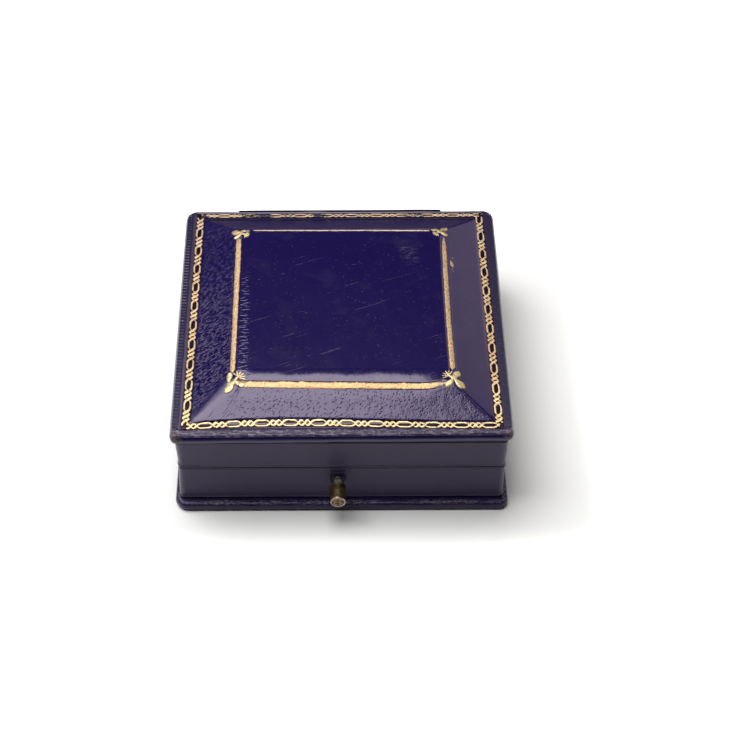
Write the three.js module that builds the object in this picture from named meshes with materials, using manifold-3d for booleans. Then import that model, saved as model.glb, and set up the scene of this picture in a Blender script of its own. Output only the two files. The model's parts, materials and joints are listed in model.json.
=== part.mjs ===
// A small leather-covered jewelry case with a bevelled lid, a push button and two brass hinges.
// Millimetres, +Z up, +X right, the front with its button faces -Y.
// The origin is the middle of the resting face, straight under the middle of the lid.

import * as THREE from 'three';
import Module from 'manifold-3d';
import { mergeVertices } from 'three/addons/utils/BufferGeometryUtils.js';

const wasm = await Module();
wasm.setup();

// Driving dimensions of the covered case
const LID_WIDTH = 85;
const LID_FRONT = -41.35;
const LID_BACK = 41.2;
const WALL_HALF = 41.2;
const WALL_FRONT = -40.5;
const WALL_BACK = 40.85;
const BASE_HALF = 42.6;
const BASE_FRONT = -43.1;
const BASE_BACK = 41.65;
const BASE_EDGE = 2.65;
const SEAM = 14.3;
const LID_MARGIN = 27.7;
const LID_EDGE = 2.4;
const BEVEL_RISE = 4.33;

// Leather, boards and gaps
const SKIN = 0.45;
const GLUE = 0.05;
const SEAM_GAP = 0.12;
const CORNER = 1.3;
const BOARD_CORNER = 2.2;
const SIDE_WALL = 3.25;
const FRONT_WALL = 5.8;
const BACK_WALL = 5.55;
const LINING = 0.8;
const LIP = 0.9;

// Foot and top of the bevel, as half widths along X and Y, and how far over the top is from the middle
const FOOT = [37.3, 37.15];
const FRAME = [27.6, 28.2];
const FRAME_SHIFT = 0.28;
const SHOULDER = 0.14;
const CROWN = 0.1;

// Push button, bush and catch; the button sits a little left of the middle
const BUTTON_X = -1;
const BUTTON_Z = 9.5;
const BUTTON_FACE = -47.9;
const BARREL_START = -42.1;
const BARREL_R = 2.05;
const FACE_R = 1.95;
const NECK_R = 1;
const BORE_R = 1.3;
const BUSH_R = 2.3;
const LEAF_FRONT = -36.9;
const LEAF_THICK = 0.5;
const LEAF_PIVOT = 3.4;
const MORTISE_BACK = -38.4;

// Hinges: axis along X behind the back rims
const HINGE_Y = 39.2;
const HINGE_X = [-20, 20];
const HINGE_WIDTH = 12;
const KNUCKLE_R = 0.95;
const PIN_R = 0.45;
const PIN_BORE_R = 0.52;
const LEAF = 0.55;
const LEAF_SEAT = 35.1;
const HINGE_SCREW_X = 3.6;
const HINGE_SCREW_Y = 36.6;
const NOTCH_ANGLE = 48.5;
const SPINE_HALF = 28;

// Screws
const SCREW_HEAD = 0.95;
const SCREW_SHANK = 0.55;
const HEAD_HIGH = 0.35;
const CATCH_SCREWS = [BUTTON_X - 3.2, BUTTON_X + 3.2];
const CATCH_SCREW_Y = -35.65;
const HOOK_SCREWS = [BUTTON_X - 3.4, BUTTON_X + 3.4];
const HOOK_SCREW_Y = -36.6;

// Jewel pad
const PAD_TOP = 11;
const WELL_R = 19;
const WELL_FLOOR = 5.4;

const LEATHER = { color: 0x2b2549, roughness: 0.5, metalness: 0 };
const MILLBOARD = { color: 0x8b7a60, roughness: 0.9, metalness: 0 };
const BEECH = { color: 0xb58d5c, roughness: 0.7, metalness: 0 };
const BRASS = { color: 0x8f7747, roughness: 0.4, metalness: 1 };
const STEEL = { color: 0x8c8f94, roughness: 0.35, metalness: 1 };
const VELVET = { color: 0x241f52, roughness: 1, metalness: 0 };
const SATIN = { color: 0xe6dcc4, roughness: 0.4, metalness: 0 };
const PAPER = { color: 0x26222e, roughness: 0.9, metalness: 0 };

// Solids

function merged(geometry) {
  const bare = geometry.clone();
  for (const name of ['normal', 'uv']) {
    bare.deleteAttribute(name);
  }
  return mergeVertices(bare, 1e-4);
}

function toSolid(geometry) {
  const bare = merged(geometry);
  return new wasm.Manifold(new wasm.Mesh({
    numProp: 3,
    vertProperties: new Float32Array(bare.attributes.position.array),
    triVerts: new Uint32Array(bare.index.array),
  }));
}

function toGeometry(solid) {
  const mesh = solid.getMesh();
  const geometry = new THREE.BufferGeometry();
  geometry.setAttribute('position', new THREE.BufferAttribute(mesh.vertProperties, 3));
  geometry.setIndex(new THREE.BufferAttribute(mesh.triVerts, 1));
  geometry.computeVertexNormals();
  return geometry;
}

function cut(geometry, ...tools) {
  return toGeometry(tools.reduce((solid, tool) => solid.subtract(toSolid(tool)), toSolid(geometry)));
}

function join(first, ...others) {
  return toGeometry(others.reduce((solid, other) => solid.add(toSolid(other)), toSolid(first)));
}

function shared(first, second) {
  return toGeometry(toSolid(first).intersect(toSolid(second)));
}

// A block between two corners
function block(low, high) {
  const size = high.map((value, axis) => value - low[axis]);
  const middle = high.map((value, axis) => (value + low[axis]) / 2);
  return new THREE.BoxGeometry(...size).translate(...middle);
}

// A turned piece: profile points are [radius, distance along the axis] from one end to the other
function turned(profile, sides = 16) {
  return new THREE.LatheGeometry(profile.map(([r, along]) => new THREE.Vector2(r, along)), sides);
}

// A round rod along X, Y or Z between two places on its axis
function rod(axis, radius, from, to, at, sides = 12) {
  const geometry = turned([[0, from], [radius, from], [radius, to], [0, to]], sides);
  if (axis === 'x') geometry.rotateZ(-Math.PI / 2);
  if (axis === 'z') geometry.rotateX(Math.PI / 2);
  return geometry.translate(...at);
}

// A rounded rectangle: [x low, x high, y low, y high], corner radius and height
function ring(box, radius, z, steps = 4) {
  const [x0, x1, y0, y1] = box;
  const corners = [[x1 - radius, y0 + radius], [x1 - radius, y1 - radius],
    [x0 + radius, y1 - radius], [x0 + radius, y0 + radius]];
  const points = [];
  corners.forEach(([cx, cy], quarter) => {
    for (let i = 0; i <= steps; i += 1) {
      const angle = (quarter - 1 + i / steps) * Math.PI / 2;
      points.push([cx + radius * Math.cos(angle), cy + radius * Math.sin(angle), z]);
    }
  });
  return points;
}

// A skin through rings of equal count: closed on itself as a hoop, or capped at its first and last ring
function loft(rings, hoop = false) {
  const count = rings[0].length;
  const positions = rings.flat(2);
  const index = [];
  const bands = hoop ? rings.length : rings.length - 1;
  for (let band = 0; band < bands; band += 1) {
    const low = band * count;
    const high = ((band + 1) % rings.length) * count;
    for (let i = 0; i < count; i += 1) {
      const next = (i + 1) % count;
      index.push(low + i, low + next, high + next, low + i, high + next, high + i);
    }
  }
  const cap = (points, first, up) => {
    const middle = positions.length / 3;
    const mean = [0, 1, 2].map((axis) => points.reduce((sum, p) => sum + p[axis], 0) / count);
    positions.push(...mean);
    for (let i = 0; i < count; i += 1) {
      const next = (i + 1) % count;
      index.push(middle, first + (up ? i : next), first + (up ? next : i));
    }
  };
  if (!hoop) {
    cap(rings[0], 0, false);
    cap(rings[rings.length - 1], (rings.length - 1) * count, true);
  }
  const geometry = new THREE.BufferGeometry();
  geometry.setAttribute('position', new THREE.Float32BufferAttribute(positions, 3));
  geometry.setIndex(index);
  geometry.computeVertexNormals();
  return geometry;
}

// A box of [x low, x high, y low, y high], drawn in by one distance on every side
function inset(box, by) {
  return [box[0] + by, box[1] - by, box[2] + by, box[3] - by];
}

const jewelryCase = new THREE.Group();
const baseGroup = new THREE.Group();
const lidGroup = new THREE.Group();
jewelryCase.add(baseGroup, lidGroup);

function add(group, name, geometry, finish) {
  const mesh = new THREE.Mesh(geometry, new THREE.MeshStandardMaterial(finish));
  mesh.name = name;
  group.add(mesh);
  return mesh;
}

// Outlines that several pieces share
const WALL_SKIN = [-WALL_HALF, WALL_HALF, WALL_FRONT, WALL_BACK];
const WALL_WOOD = inset(WALL_SKIN, SKIN + GLUE);
const ROOM = [WALL_WOOD[0] + SIDE_WALL, WALL_WOOD[1] - SIDE_WALL,
  WALL_WOOD[2] + FRONT_WALL, WALL_WOOD[3] - BACK_WALL];
const LINED = inset(ROOM, LINING + GLUE);
const LID_BOX = [-LID_WIDTH / 2, LID_WIDTH / 2, LID_FRONT, LID_BACK];
const BASE_BOX = [-BASE_HALF, BASE_HALF, BASE_FRONT, BASE_BACK];
const LID_RIM = SEAM + SEAM_GAP;
const BASE_RIM = SEAM - SEAM_GAP;
const LID_UNDER = LID_MARGIN - LID_EDGE;
const WALL_TOP = LID_UNDER + SKIN;

// Cutters that both halves share

// The V notch along the back seam that lets the lid swing back
function backNotch() {
  const reach = 4;
  const drop = reach * Math.tan(THREE.MathUtils.degToRad(NOTCH_ANGLE));
  const outline = new THREE.Shape([
    new THREE.Vector2(HINGE_Y - GLUE, SEAM),
    new THREE.Vector2(HINGE_Y + reach, SEAM - drop),
    new THREE.Vector2(HINGE_Y + reach, SEAM + drop),
  ]);
  const notch = new THREE.ExtrudeGeometry(outline, { depth: LID_WIDTH + 4, bevelEnabled: false });
  // The outline's own x and y become the case's Y and Z
  const turn = new THREE.Matrix4().makeBasis(
    new THREE.Vector3(0, 1, 0), new THREE.Vector3(0, 0, 1), new THREE.Vector3(1, 0, 0),
  );
  return notch.applyMatrix4(turn).translate(-LID_WIDTH / 2 - 2, 0, 0);
}

// Round clearance for the knuckles and a flat seat for the leaf, one pair for each hinge
function hingeSeats(rim, into) {
  const low = Math.min(rim - into * SEAM_GAP * 3, rim + into * (LEAF + GLUE));
  const high = Math.max(rim - into * SEAM_GAP * 3, rim + into * (LEAF + GLUE));
  return HINGE_X.flatMap((x) => [
    rod('x', KNUCKLE_R + 0.25, x - HINGE_WIDTH / 2 - 0.4, x + HINGE_WIDTH / 2 + 0.4, [0, HINGE_Y, SEAM]),
    block([x - HINGE_WIDTH / 2 - 0.2, LEAF_SEAT - 0.1, low], [x + HINGE_WIDTH / 2 + 0.2, HINGE_Y, high]),
  ]);
}

// A small slotted screw that points down, with the underside of its head at its own origin
function screw(length) {
  const body = turned([
    [0, -length], [SCREW_SHANK * 0.5, -length], [SCREW_SHANK, -length + 0.6],
    [SCREW_SHANK, 0], [SCREW_HEAD, 0], [SCREW_HEAD, HEAD_HIGH * 0.6],
    [SCREW_HEAD * 0.7, HEAD_HIGH], [0, HEAD_HIGH],
  ], 12).rotateX(Math.PI / 2);
  return cut(body, block([-1.2, -0.13, HEAD_HIGH * 0.45], [1.2, 0.13, HEAD_HIGH + 1]));
}

function addScrew(group, name, at, length, upsideDown = false) {
  const mesh = add(group, name, screw(length), BRASS);
  mesh.position.set(...at);
  if (upsideDown) mesh.rotation.x = Math.PI;
}

// A pilot hole, 0.05 mm wider than the shank, from one height to another
function pilot(x, y, from, to) {
  return rod('z', SCREW_SHANK + GLUE, from, to, [x, y, 0]);
}

function pilotsAtHinges(from, to) {
  return HINGE_X.flatMap((x) => [-1, 1].map((s) => pilot(x + s * HINGE_SCREW_X, HINGE_SCREW_Y, from, to)));
}

// Base: board, its leather edge and its sole

const TURN_IN = 5.5;
const SOLE_INSET = 4;
const SOLE = 0.35;
const BOARD_TOP = BASE_EDGE - SKIN;

function baseBoardLeather() {
  const round = 0.9;
  const outer = [[SOLE_INSET + 0.3, 0], [round, 0], [0.25, 0.3], [0, round],
    [0, BASE_EDGE - round], [0.25, BASE_EDGE - 0.3], [round, BASE_EDGE], [TURN_IN, BASE_EDGE]];
  const inner = [[TURN_IN, BOARD_TOP], [round, BOARD_TOP], [SKIN, BASE_EDGE - round],
    [SKIN, round], [round, SKIN], [SOLE_INSET + 0.3, SKIN]];
  const rings = [...outer, ...inner].map(([by, z]) => ring(inset(BASE_BOX, by), cornerAt(by), z));
  return loft(rings, true);
}

// Corner radius of the projecting boards, drawn in with the outline
function cornerAt(by) {
  return Math.max(BOARD_CORNER - by, 0.4);
}

add(baseGroup, 'base_board_leather', baseBoardLeather(), LEATHER);

const boardBox = inset(BASE_BOX, SKIN + GLUE);
const catchPilots = CATCH_SCREWS.map((x) => pilot(x, CATCH_SCREW_Y, 1, 5));
add(baseGroup, 'base_board', cut(
  loft([
    ring(inset(boardBox, 0.4), 1.4, SKIN + GLUE), ring(boardBox, 1.7, 0.95),
    ring(boardBox, 1.7, BASE_EDGE - 0.95), ring(inset(boardBox, 0.4), 1.4, BOARD_TOP - GLUE),
  ]),
  ...catchPilots,
), MILLBOARD);
add(baseGroup, 'base_sole', loft([
  ring(inset(BASE_BOX, SOLE_INSET + 0.6), 1, 0), ring(inset(BASE_BOX, SOLE_INSET + 0.6), 1, SOLE),
]), PAPER);

// Walls: four boards to each half, butted behind the front and back boards

// One half's walls between two heights, with the cutters of each board
function addWalls(group, prefix, low, high, cuts) {
  const [x0, x1, y0, y1] = WALL_WOOD;
  const [roomX0, roomX1, roomY0, roomY1] = ROOM;
  const boards = {
    front: [[x0, y0], [x1, roomY0]],
    back: [[x0, roomY1], [x1, y1]],
    left: [[x0, roomY0 + GLUE], [roomX0, roomY1 - GLUE]],
    right: [[roomX1, roomY0 + GLUE], [x1, roomY1 - GLUE]],
  };
  const rounded = loft([ring(WALL_WOOD, CORNER - SKIN, low), ring(WALL_WOOD, CORNER - SKIN, high)]);
  for (const [side, [a, b]] of Object.entries(boards)) {
    const board = shared(block([...a, low], [...b, high]), rounded);
    add(group, `${prefix}_wall_${side}`, cut(board, ...(cuts[side] ?? [])), BEECH);
  }
}

const buttonHole = rod('y', BUSH_R + GLUE, WALL_FRONT - 1, MORTISE_BACK + 1, [BUTTON_X, 0, BUTTON_Z], 20);
const catchMortise = block(
  [BUTTON_X - 5.6, MORTISE_BACK, 0], [BUTTON_X + 5.6, ROOM[2] + 1, SEAM + 1],
);

addWalls(baseGroup, 'base', BASE_EDGE + GLUE, BASE_RIM, {
  front: [catchMortise, buttonHole],
  back: [backNotch(), ...hingeSeats(BASE_RIM, -1), ...pilotsAtHinges(8, SEAM)],
});

// Leather strip round the walls, open where the button passes
function wallLeather(low, high, ...cuts) {
  const inner = inset(WALL_SKIN, SKIN);
  const strip = loft([
    ring(WALL_SKIN, CORNER, low), ring(WALL_SKIN, CORNER, high),
    ring(inner, CORNER - SKIN, high), ring(inner, CORNER - SKIN, low),
  ], true);
  return cut(strip, ...cuts);
}

const leatherHole = rod('y', 1.75, WALL_FRONT - 1, WALL_FRONT + 2, [BUTTON_X, 0, BUTTON_Z], 20);
const baseWallLeather = wallLeather(BASE_EDGE + GLUE, BASE_RIM, backNotch(), leatherHole);
add(baseGroup, 'base_wall_leather', baseWallLeather, LEATHER);

// Lining strip inside the base, with a lip that stands above the rim
function liningStrip(low, high) {
  const outer = inset(ROOM, GLUE);
  return loft([
    ring(outer, 0.6, low), ring(outer, 0.6, high - 0.3), ring(inset(outer, 0.25), 0.5, high),
    ring(inset(LINED, -0.2), 0.4, high), ring(LINED, 0.4, high - 0.25), ring(LINED, 0.4, low),
  ], true);
}

add(baseGroup, 'base_lining', liningStrip(BASE_EDGE + GLUE, SEAM + LIP), VELVET);

// Velvet pad with a round well
function jewelPad() {
  const side = inset(LINED, 0.15);
  const circle = (radius, z) => ring([-radius, radius, -radius, radius], radius, z, 8);
  const edge = (by, radius, z) => ring(inset(side, by), radius, z, 8);
  return loft([
    edge(0, 1, BOARD_TOP + GLUE), edge(0, 1, PAD_TOP - 1.2), edge(0.4, 1.2, PAD_TOP - 0.4),
    edge(1.3, 1.6, PAD_TOP), circle(WELL_R + 1.2, PAD_TOP), circle(WELL_R + 0.3, PAD_TOP - 0.4),
    circle(WELL_R, PAD_TOP - 1.2), circle(WELL_R, WELL_FLOOR + 0.8), circle(WELL_R - 0.8, WELL_FLOOR),
  ]);
}

add(baseGroup, 'jewel_pad', jewelPad(), VELVET);

// Bush, button and catch

function buttonBush() {
  const [front, back] = [WALL_WOOD[2], WALL_WOOD[2] + 1.75];
  return turned([[BORE_R, front], [BUSH_R, front], [BUSH_R, back], [BORE_R, back], [BORE_R, front]], 20);
}

add(baseGroup, 'button_bush', buttonBush().translate(BUTTON_X, 0, BUTTON_Z), BRASS);

function pushButton() {
  const flare = 0.35;
  return turned([
    [0, LEAF_FRONT - 0.25], [0.8, LEAF_FRONT - 0.25], [0.8, -37.75], [1.7, -37.75], [1.7, -38.2],
    [NECK_R, -38.2], [NECK_R, BARREL_START + 0.45], [NECK_R + flare, BARREL_START + 0.12],
    [BARREL_R - 0.25, BARREL_START - 0.25], [BARREL_R, BARREL_START - 0.55],
    [FACE_R, BUTTON_FACE + 0.35], [FACE_R - 0.08, BUTTON_FACE + 0.1], [FACE_R - 0.25, BUTTON_FACE],
    [FACE_R - 0.42, BUTTON_FACE + 0.06], [FACE_R - 0.6, BUTTON_FACE + 0.22], [0, BUTTON_FACE + 0.12],
  ].reverse(), 24);
}

add(jewelryCase, 'push_button', pushButton().translate(BUTTON_X, 0, BUTTON_Z), BRASS);

// The catch is a brass leaf that bends above its screwed foot; its nose holds the lid's hook
const NOSE = [[BUTTON_X - 1.3, LEAF_FRONT - 1, 12.15], [BUTTON_X + 1.3, LEAF_FRONT + 0.2, 12.95]];
add(baseGroup, 'catch_foot', cut(
  block(
    [BUTTON_X - 5, LEAF_FRONT + 0.1, BOARD_TOP + GLUE],
    [BUTTON_X + 5, ROOM[2] - 0.15, BOARD_TOP + GLUE + LEAF],
  ),
  ...catchPilots,
), BRASS);
add(jewelryCase, 'catch_leaf', join(
  block([BUTTON_X - 2.2, LEAF_FRONT, LEAF_PIVOT + 0.1], [BUTTON_X + 2.2, LEAF_FRONT + LEAF_THICK, 13.3]),
  block(...NOSE),
), STEEL);
CATCH_SCREWS.forEach((x, i) => {
  const seat = BOARD_TOP + 2 * GLUE + LEAF;
  addScrew(baseGroup, `catch_screw_${i + 1}`, [x, CATCH_SCREW_Y, seat], 1.6);
});

// Hinges

// The knuckles of one leaf, in thirds of the hinge's width: the base holds the outer two, the lid the middle
function hingeLeaf(x, rim, into, thirds) {
  const gap = 0.15;
  const third = HINGE_WIDTH / 3;
  const flat = [rim + into * (LEAF + GLUE / 2), rim + into * (GLUE / 2)].sort((a, b) => a - b);
  const knuckles = thirds.map((n) => {
    const from = x - HINGE_WIDTH / 2 + n * third + gap;
    return rod('x', KNUCKLE_R, from, from + third - 2 * gap, [0, HINGE_Y, SEAM], 16);
  });
  const arms = thirds.map((n) => {
    const from = x - HINGE_WIDTH / 2 + n * third + gap;
    return block([from, HINGE_Y - KNUCKLE_R - 0.4, flat[0]], [from + third - 2 * gap, HINGE_Y, flat[1]]);
  });
  const plate = block([x - HINGE_WIDTH / 2, LEAF_SEAT, flat[0]],
    [x + HINGE_WIDTH / 2, HINGE_Y - KNUCKLE_R - 0.3, flat[1]]);
  const solid = join(plate, ...arms, ...knuckles);
  const seat = rim - into * 1;
  const seatEnd = rim + into * (HEAD_HIGH + GLUE / 2);
  const holes = [-1, 1].flatMap((s) => {
    const at = x + s * HINGE_SCREW_X;
    const head = rod('z', SCREW_HEAD + GLUE, Math.min(seat, seatEnd), Math.max(seat, seatEnd),
      [at, HINGE_SCREW_Y, 0]);
    return [pilot(at, HINGE_SCREW_Y, flat[0] - 1, flat[1] + 1), head];
  });
  return cut(solid, rod('x', PIN_BORE_R, x - HINGE_WIDTH, x + HINGE_WIDTH, [0, HINGE_Y, SEAM], 16), ...holes);
}

function hingePin(x) {
  const end = HINGE_WIDTH / 2 + 0.1;
  return turned([
    [0, -end - 0.25], [0.65, -end - 0.2], [0.75, -end], [PIN_R, -end], [PIN_R, end],
    [0.75, end], [0.65, end + 0.2], [0, end + 0.25],
  ], 16).rotateZ(-Math.PI / 2).translate(x, HINGE_Y, SEAM);
}

HINGE_X.forEach((x, i) => {
  const side = i === 0 ? 'left' : 'right';
  add(baseGroup, `hinge_base_leaf_${side}`, hingeLeaf(x, BASE_RIM, -1, [0, 2]), BRASS);
  add(lidGroup, `hinge_lid_leaf_${side}`, hingeLeaf(x, LID_RIM, 1, [1]), BRASS);
  add(baseGroup, `hinge_pin_${side}`, hingePin(x), STEEL);
  [-1, 1].forEach((s, k) => {
    const at = x + s * HINGE_SCREW_X;
    addScrew(baseGroup, `hinge_base_screw_${side}_${k + 1}`, [at, HINGE_SCREW_Y, BASE_RIM - HEAD_HIGH], 4);
    addScrew(lidGroup, `hinge_lid_screw_${side}_${k + 1}`, [at, HINGE_SCREW_Y, LID_RIM + HEAD_HIGH], 4, true);
  });
});

// Lid: walls and their leather

addWalls(lidGroup, 'lid', LID_RIM, WALL_TOP, {
  front: [
    block([BUTTON_X - 5.2, MORTISE_BACK + 0.2, SEAM], [BUTTON_X + 5.2, ROOM[2] + 1, LID_RIM + LEAF + 0.1]),
    ...HOOK_SCREWS.map((x) => pilot(x, HOOK_SCREW_Y, SEAM, LID_RIM + 6)),
  ],
  back: [backNotch(), ...hingeSeats(LID_RIM, 1), ...pilotsAtHinges(SEAM, SEAM + 6)],
});
add(lidGroup, 'lid_wall_leather', wallLeather(LID_RIM, LID_UNDER - GLUE, backNotch()), LEATHER);
add(lidGroup, 'lid_lining', liningStrip(SEAM + LIP + 0.6, WALL_TOP - 0.4), SATIN);

// Hook plate: a flange under the front rim and a tongue with a window that the catch's nose enters
function lidHook() {
  const top = LID_RIM + LEAF + GLUE;
  const flange = block([BUTTON_X - 5, -38.1, top - LEAF], [BUTTON_X + 5, ROOM[2] - 0.3, top]);
  const tongue = block([BUTTON_X - 2.3, -38.1, 11.5], [BUTTON_X + 2.3, -37.45, top - 0.1]);
  const slot = block([BUTTON_X - 1.55, -39, 12], [BUTTON_X + 1.55, -37, 13.15]);
  const holes = HOOK_SCREWS.map((x) => pilot(x, HOOK_SCREW_Y, SEAM - 2, top + 2));
  return cut(join(flange, tongue), slot, ...holes);
}

add(lidGroup, 'lid_hook', lidHook(), BRASS);
HOOK_SCREWS.forEach((x, i) => {
  addScrew(lidGroup, `hook_screw_${i + 1}`, [x, HOOK_SCREW_Y, LID_RIM + 0.03], 4, true);
});

// Lid: board, bevelled panel and the leather over both

// Height of the bevel above the margin, at t from the foot (0) to the shoulder (1) and over it
function bevelHeight(t) {
  const start = 1 - SHOULDER;
  const slope = BEVEL_RISE / (start + SHOULDER);
  if (t <= start) return slope * t;
  const u = Math.min(t, 1 + SHOULDER) - start;
  return slope * (start + u - u * u / (4 * SHOULDER));
}

// One ring of the bevel at t, drawn in from the foot towards the shoulder's frame
function bevelRing(t, z) {
  const half = FOOT.map((foot, axis) => foot + (FRAME[axis] - foot) * t);
  const shift = FRAME_SHIFT * Math.min(t, 1);
  const box = [shift - half[0], shift + half[0], -half[1], half[1]];
  return ring(box, 1.4, z);
}

const BEVEL_STEPS = [0, 0.5, 0.86, 0.93, 1, 1.07, 1.14, 2, 3.2];

function lidTopLeather() {
  const edge = (by, z) => ring(inset(LID_BOX, by), cornerAt(by), z);
  const underTurn = [WALL_WOOD[0] - 0.1, WALL_WOOD[1] + 0.1, WALL_WOOD[2] - 0.1, WALL_WOOD[3] + 0.1];
  const crown = (t) => CROWN * THREE.MathUtils.clamp((t - 1) / 2.2, 0, 1);
  const outside = BEVEL_STEPS.map((t) => bevelRing(t, LID_MARGIN + bevelHeight(t) + crown(t)));
  const inside = BEVEL_STEPS.map(
    (t) => bevelRing(t, LID_MARGIN - SKIN + bevelHeight(t) + crown(t)),
  ).reverse();
  return loft([
    ...inside,
    edge(0.85, LID_MARGIN - SKIN), edge(SKIN, LID_MARGIN - LID_EDGE / 2), edge(0.7, WALL_TOP),
    ring(underTurn, 0.9, WALL_TOP), ring(underTurn, 0.9, LID_UNDER),
    edge(0.7, LID_UNDER), edge(0.2, LID_UNDER + 0.3), edge(0, LID_MARGIN - LID_EDGE / 2),
    edge(0.25, LID_MARGIN - 0.35), edge(0.9, LID_MARGIN),
    ...outside,
  ]);
}

add(lidGroup, 'lid_top_leather', lidTopLeather(), LEATHER);

const lidCore = inset(LID_BOX, SKIN + 0.1);
const LID_BOARD_TOP = LID_MARGIN - SKIN - GLUE;
add(lidGroup, 'lid_board', loft([
  ring(inset(lidCore, 0.45), 1.4, WALL_TOP + GLUE), ring(lidCore, 1.6, LID_MARGIN - LID_EDGE / 2),
  ring(inset(lidCore, 0.4), 1.4, LID_BOARD_TOP - 0.1), ring(inset(lidCore, 1), 1, LID_BOARD_TOP - 0.1),
]), MILLBOARD);

function raisedPanel() {
  const floor = LID_BOARD_TOP - 0.05;
  const lower = SKIN + GLUE;
  const steps = BEVEL_STEPS.filter((t) => t > 0);
  return loft([
    bevelRing(0.04, floor),
    ...steps.map((t) => bevelRing(t, LID_MARGIN - lower + bevelHeight(t))),
  ]);
}

add(lidGroup, 'lid_raised_panel', raisedPanel(), BEECH);

// Satin pad under the lid, crowned downwards
function lidPad() {
  const side = inset(LINED, 0.15);
  const top = WALL_TOP - 0.02;
  return loft([
    ring(inset(side, 12), 6, top - 3), ring(inset(side, 5), 4, top - 2.6),
    ring(inset(side, 1.2), 2, top - 1.7), ring(side, 1.2, top - 0.9), ring(side, 1.2, top),
  ]);
}

add(lidGroup, 'lid_pad', lidPad(), SATIN);

// Leather spine over the hinges, in its base half and its lid half

function spineHalf(low, high) {
  return cut(block([-SPINE_HALF, LID_BACK + GLUE, low], [SPINE_HALF, BASE_BACK, high]), backNotch());
}

add(baseGroup, 'spine_base', spineHalf(BASE_EDGE + 0.3, SEAM), LEATHER);
add(lidGroup, 'spine_lid', spineHalf(SEAM, LID_MARGIN - 0.1), LEATHER);

export default jewelryCase;
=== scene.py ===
"""A small navy leather jewelry case with a bevelled, gilt-tooled lid and a brass push button.

Lengths are in millimetres in the shape functions and become metres when a mesh is made.
+Z is up, the front with its button faces -Y, and every piece is at its place in the closed case.
"""
import json
import math
from functools import partial

import bpy
import numpy as np
from mathutils import Matrix, Quaternion, Vector


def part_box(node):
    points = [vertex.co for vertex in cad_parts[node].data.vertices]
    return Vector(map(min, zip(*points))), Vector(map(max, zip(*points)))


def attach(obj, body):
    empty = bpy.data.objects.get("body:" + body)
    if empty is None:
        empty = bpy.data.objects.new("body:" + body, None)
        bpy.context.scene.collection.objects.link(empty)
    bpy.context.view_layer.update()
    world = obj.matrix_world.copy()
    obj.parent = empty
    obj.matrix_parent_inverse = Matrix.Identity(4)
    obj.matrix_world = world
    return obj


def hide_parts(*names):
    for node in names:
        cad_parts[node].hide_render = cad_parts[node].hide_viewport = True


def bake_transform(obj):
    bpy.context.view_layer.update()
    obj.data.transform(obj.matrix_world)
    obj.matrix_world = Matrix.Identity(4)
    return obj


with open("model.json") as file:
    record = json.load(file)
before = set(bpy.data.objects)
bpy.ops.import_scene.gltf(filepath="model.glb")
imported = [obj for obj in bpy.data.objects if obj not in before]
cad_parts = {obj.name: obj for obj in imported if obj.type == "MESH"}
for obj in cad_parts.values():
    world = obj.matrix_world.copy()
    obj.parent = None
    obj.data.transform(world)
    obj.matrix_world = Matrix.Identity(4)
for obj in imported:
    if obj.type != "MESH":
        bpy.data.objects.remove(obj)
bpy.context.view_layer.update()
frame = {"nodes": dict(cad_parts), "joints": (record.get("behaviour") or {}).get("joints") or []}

MM = 0.001


def span(node):
    """Lowest and highest corner of a node of the frame, in millimetres."""
    low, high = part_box(node)
    return np.array(low) / MM, np.array(high) / MM


# Sizes taken from the frame
LID_LOW, LID_HIGH = span("lid_top_leather")
LID_WALL_LOW, LID_WALL_HIGH = span("lid_wall_leather")
BASE_WALL_LOW, BASE_WALL_HIGH = span("base_wall_leather")
BOARD_LOW, BOARD_HIGH = span("base_board_leather")
PAD_LOW, PAD_HIGH = span("jewel_pad")
LID_PAD_LOW, LID_PAD_HIGH = span("lid_pad")
BUTTON_LOW, BUTTON_HIGH = span("push_button")
BUTTON_X, _, BUTTON_Z = (BUTTON_LOW + BUTTON_HIGH) / 2
HINGE_Y, HINGE_Z = [v / MM for v in frame["joints"][0]["pos_m"][1:]]

# Sizes of the covered case
MARGIN = 27.7                    # height of the margin round the bevel
RISE = 4.33                      # from the margin up to the flat top
FOOT = np.array([37.3, 37.15])   # half sizes of the bevel's foot
FRAME = np.array([27.6, 28.2])   # half sizes of the flat top
FRAME_SHIFT = 0.28               # how far the flat top lies to the right
LEAN = 0.65                      # how far the right foot leans out at the front
SHOULDER = 0.14                  # share of the bevel that rounds into the flat top
SKIN = 0.45                      # thickness of the leather
NOTCH = math.tan(math.radians(48.5))   # slope of the back seam's notch: 95 degrees and some room
PERIOD = 7.03                    # the chain tool's repeat
LONG_LINK = 4.1                  # the long link in it


# Colour and node helpers

def linear(code):
    """An sRGB hex colour as linear red, green, blue and alpha."""
    parts = [int(code[i:i + 2], 16) / 255 for i in (0, 2, 4)]
    return (*(p / 12.92 if p <= 0.04045 else ((p + 0.055) / 1.055) ** 2.4 for p in parts), 1.0)


def node(tree, kind, inputs=None, take=0, stops=None, **settings):
    """Adds a node with its settings and ramp stops, fills or links its inputs, gives one output."""
    made = tree.nodes.new("ShaderNode" + kind)
    for key, value in settings.items():
        setattr(made, key, value)
    if stops:
        elements = made.color_ramp.elements
        while len(elements) < len(stops):
            elements.new(1.0)
        for element, (place, grey) in zip(elements, stops):
            element.position = place
            element.color = (grey, grey, grey, 1.0)
    for socket, value in (inputs or {}).items():
        if isinstance(value, bpy.types.NodeSocket):
            tree.links.new(value, made.inputs[socket])
        else:
            made.inputs[socket].default_value = value
    return made.outputs[take] if len(made.outputs) else made


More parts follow.
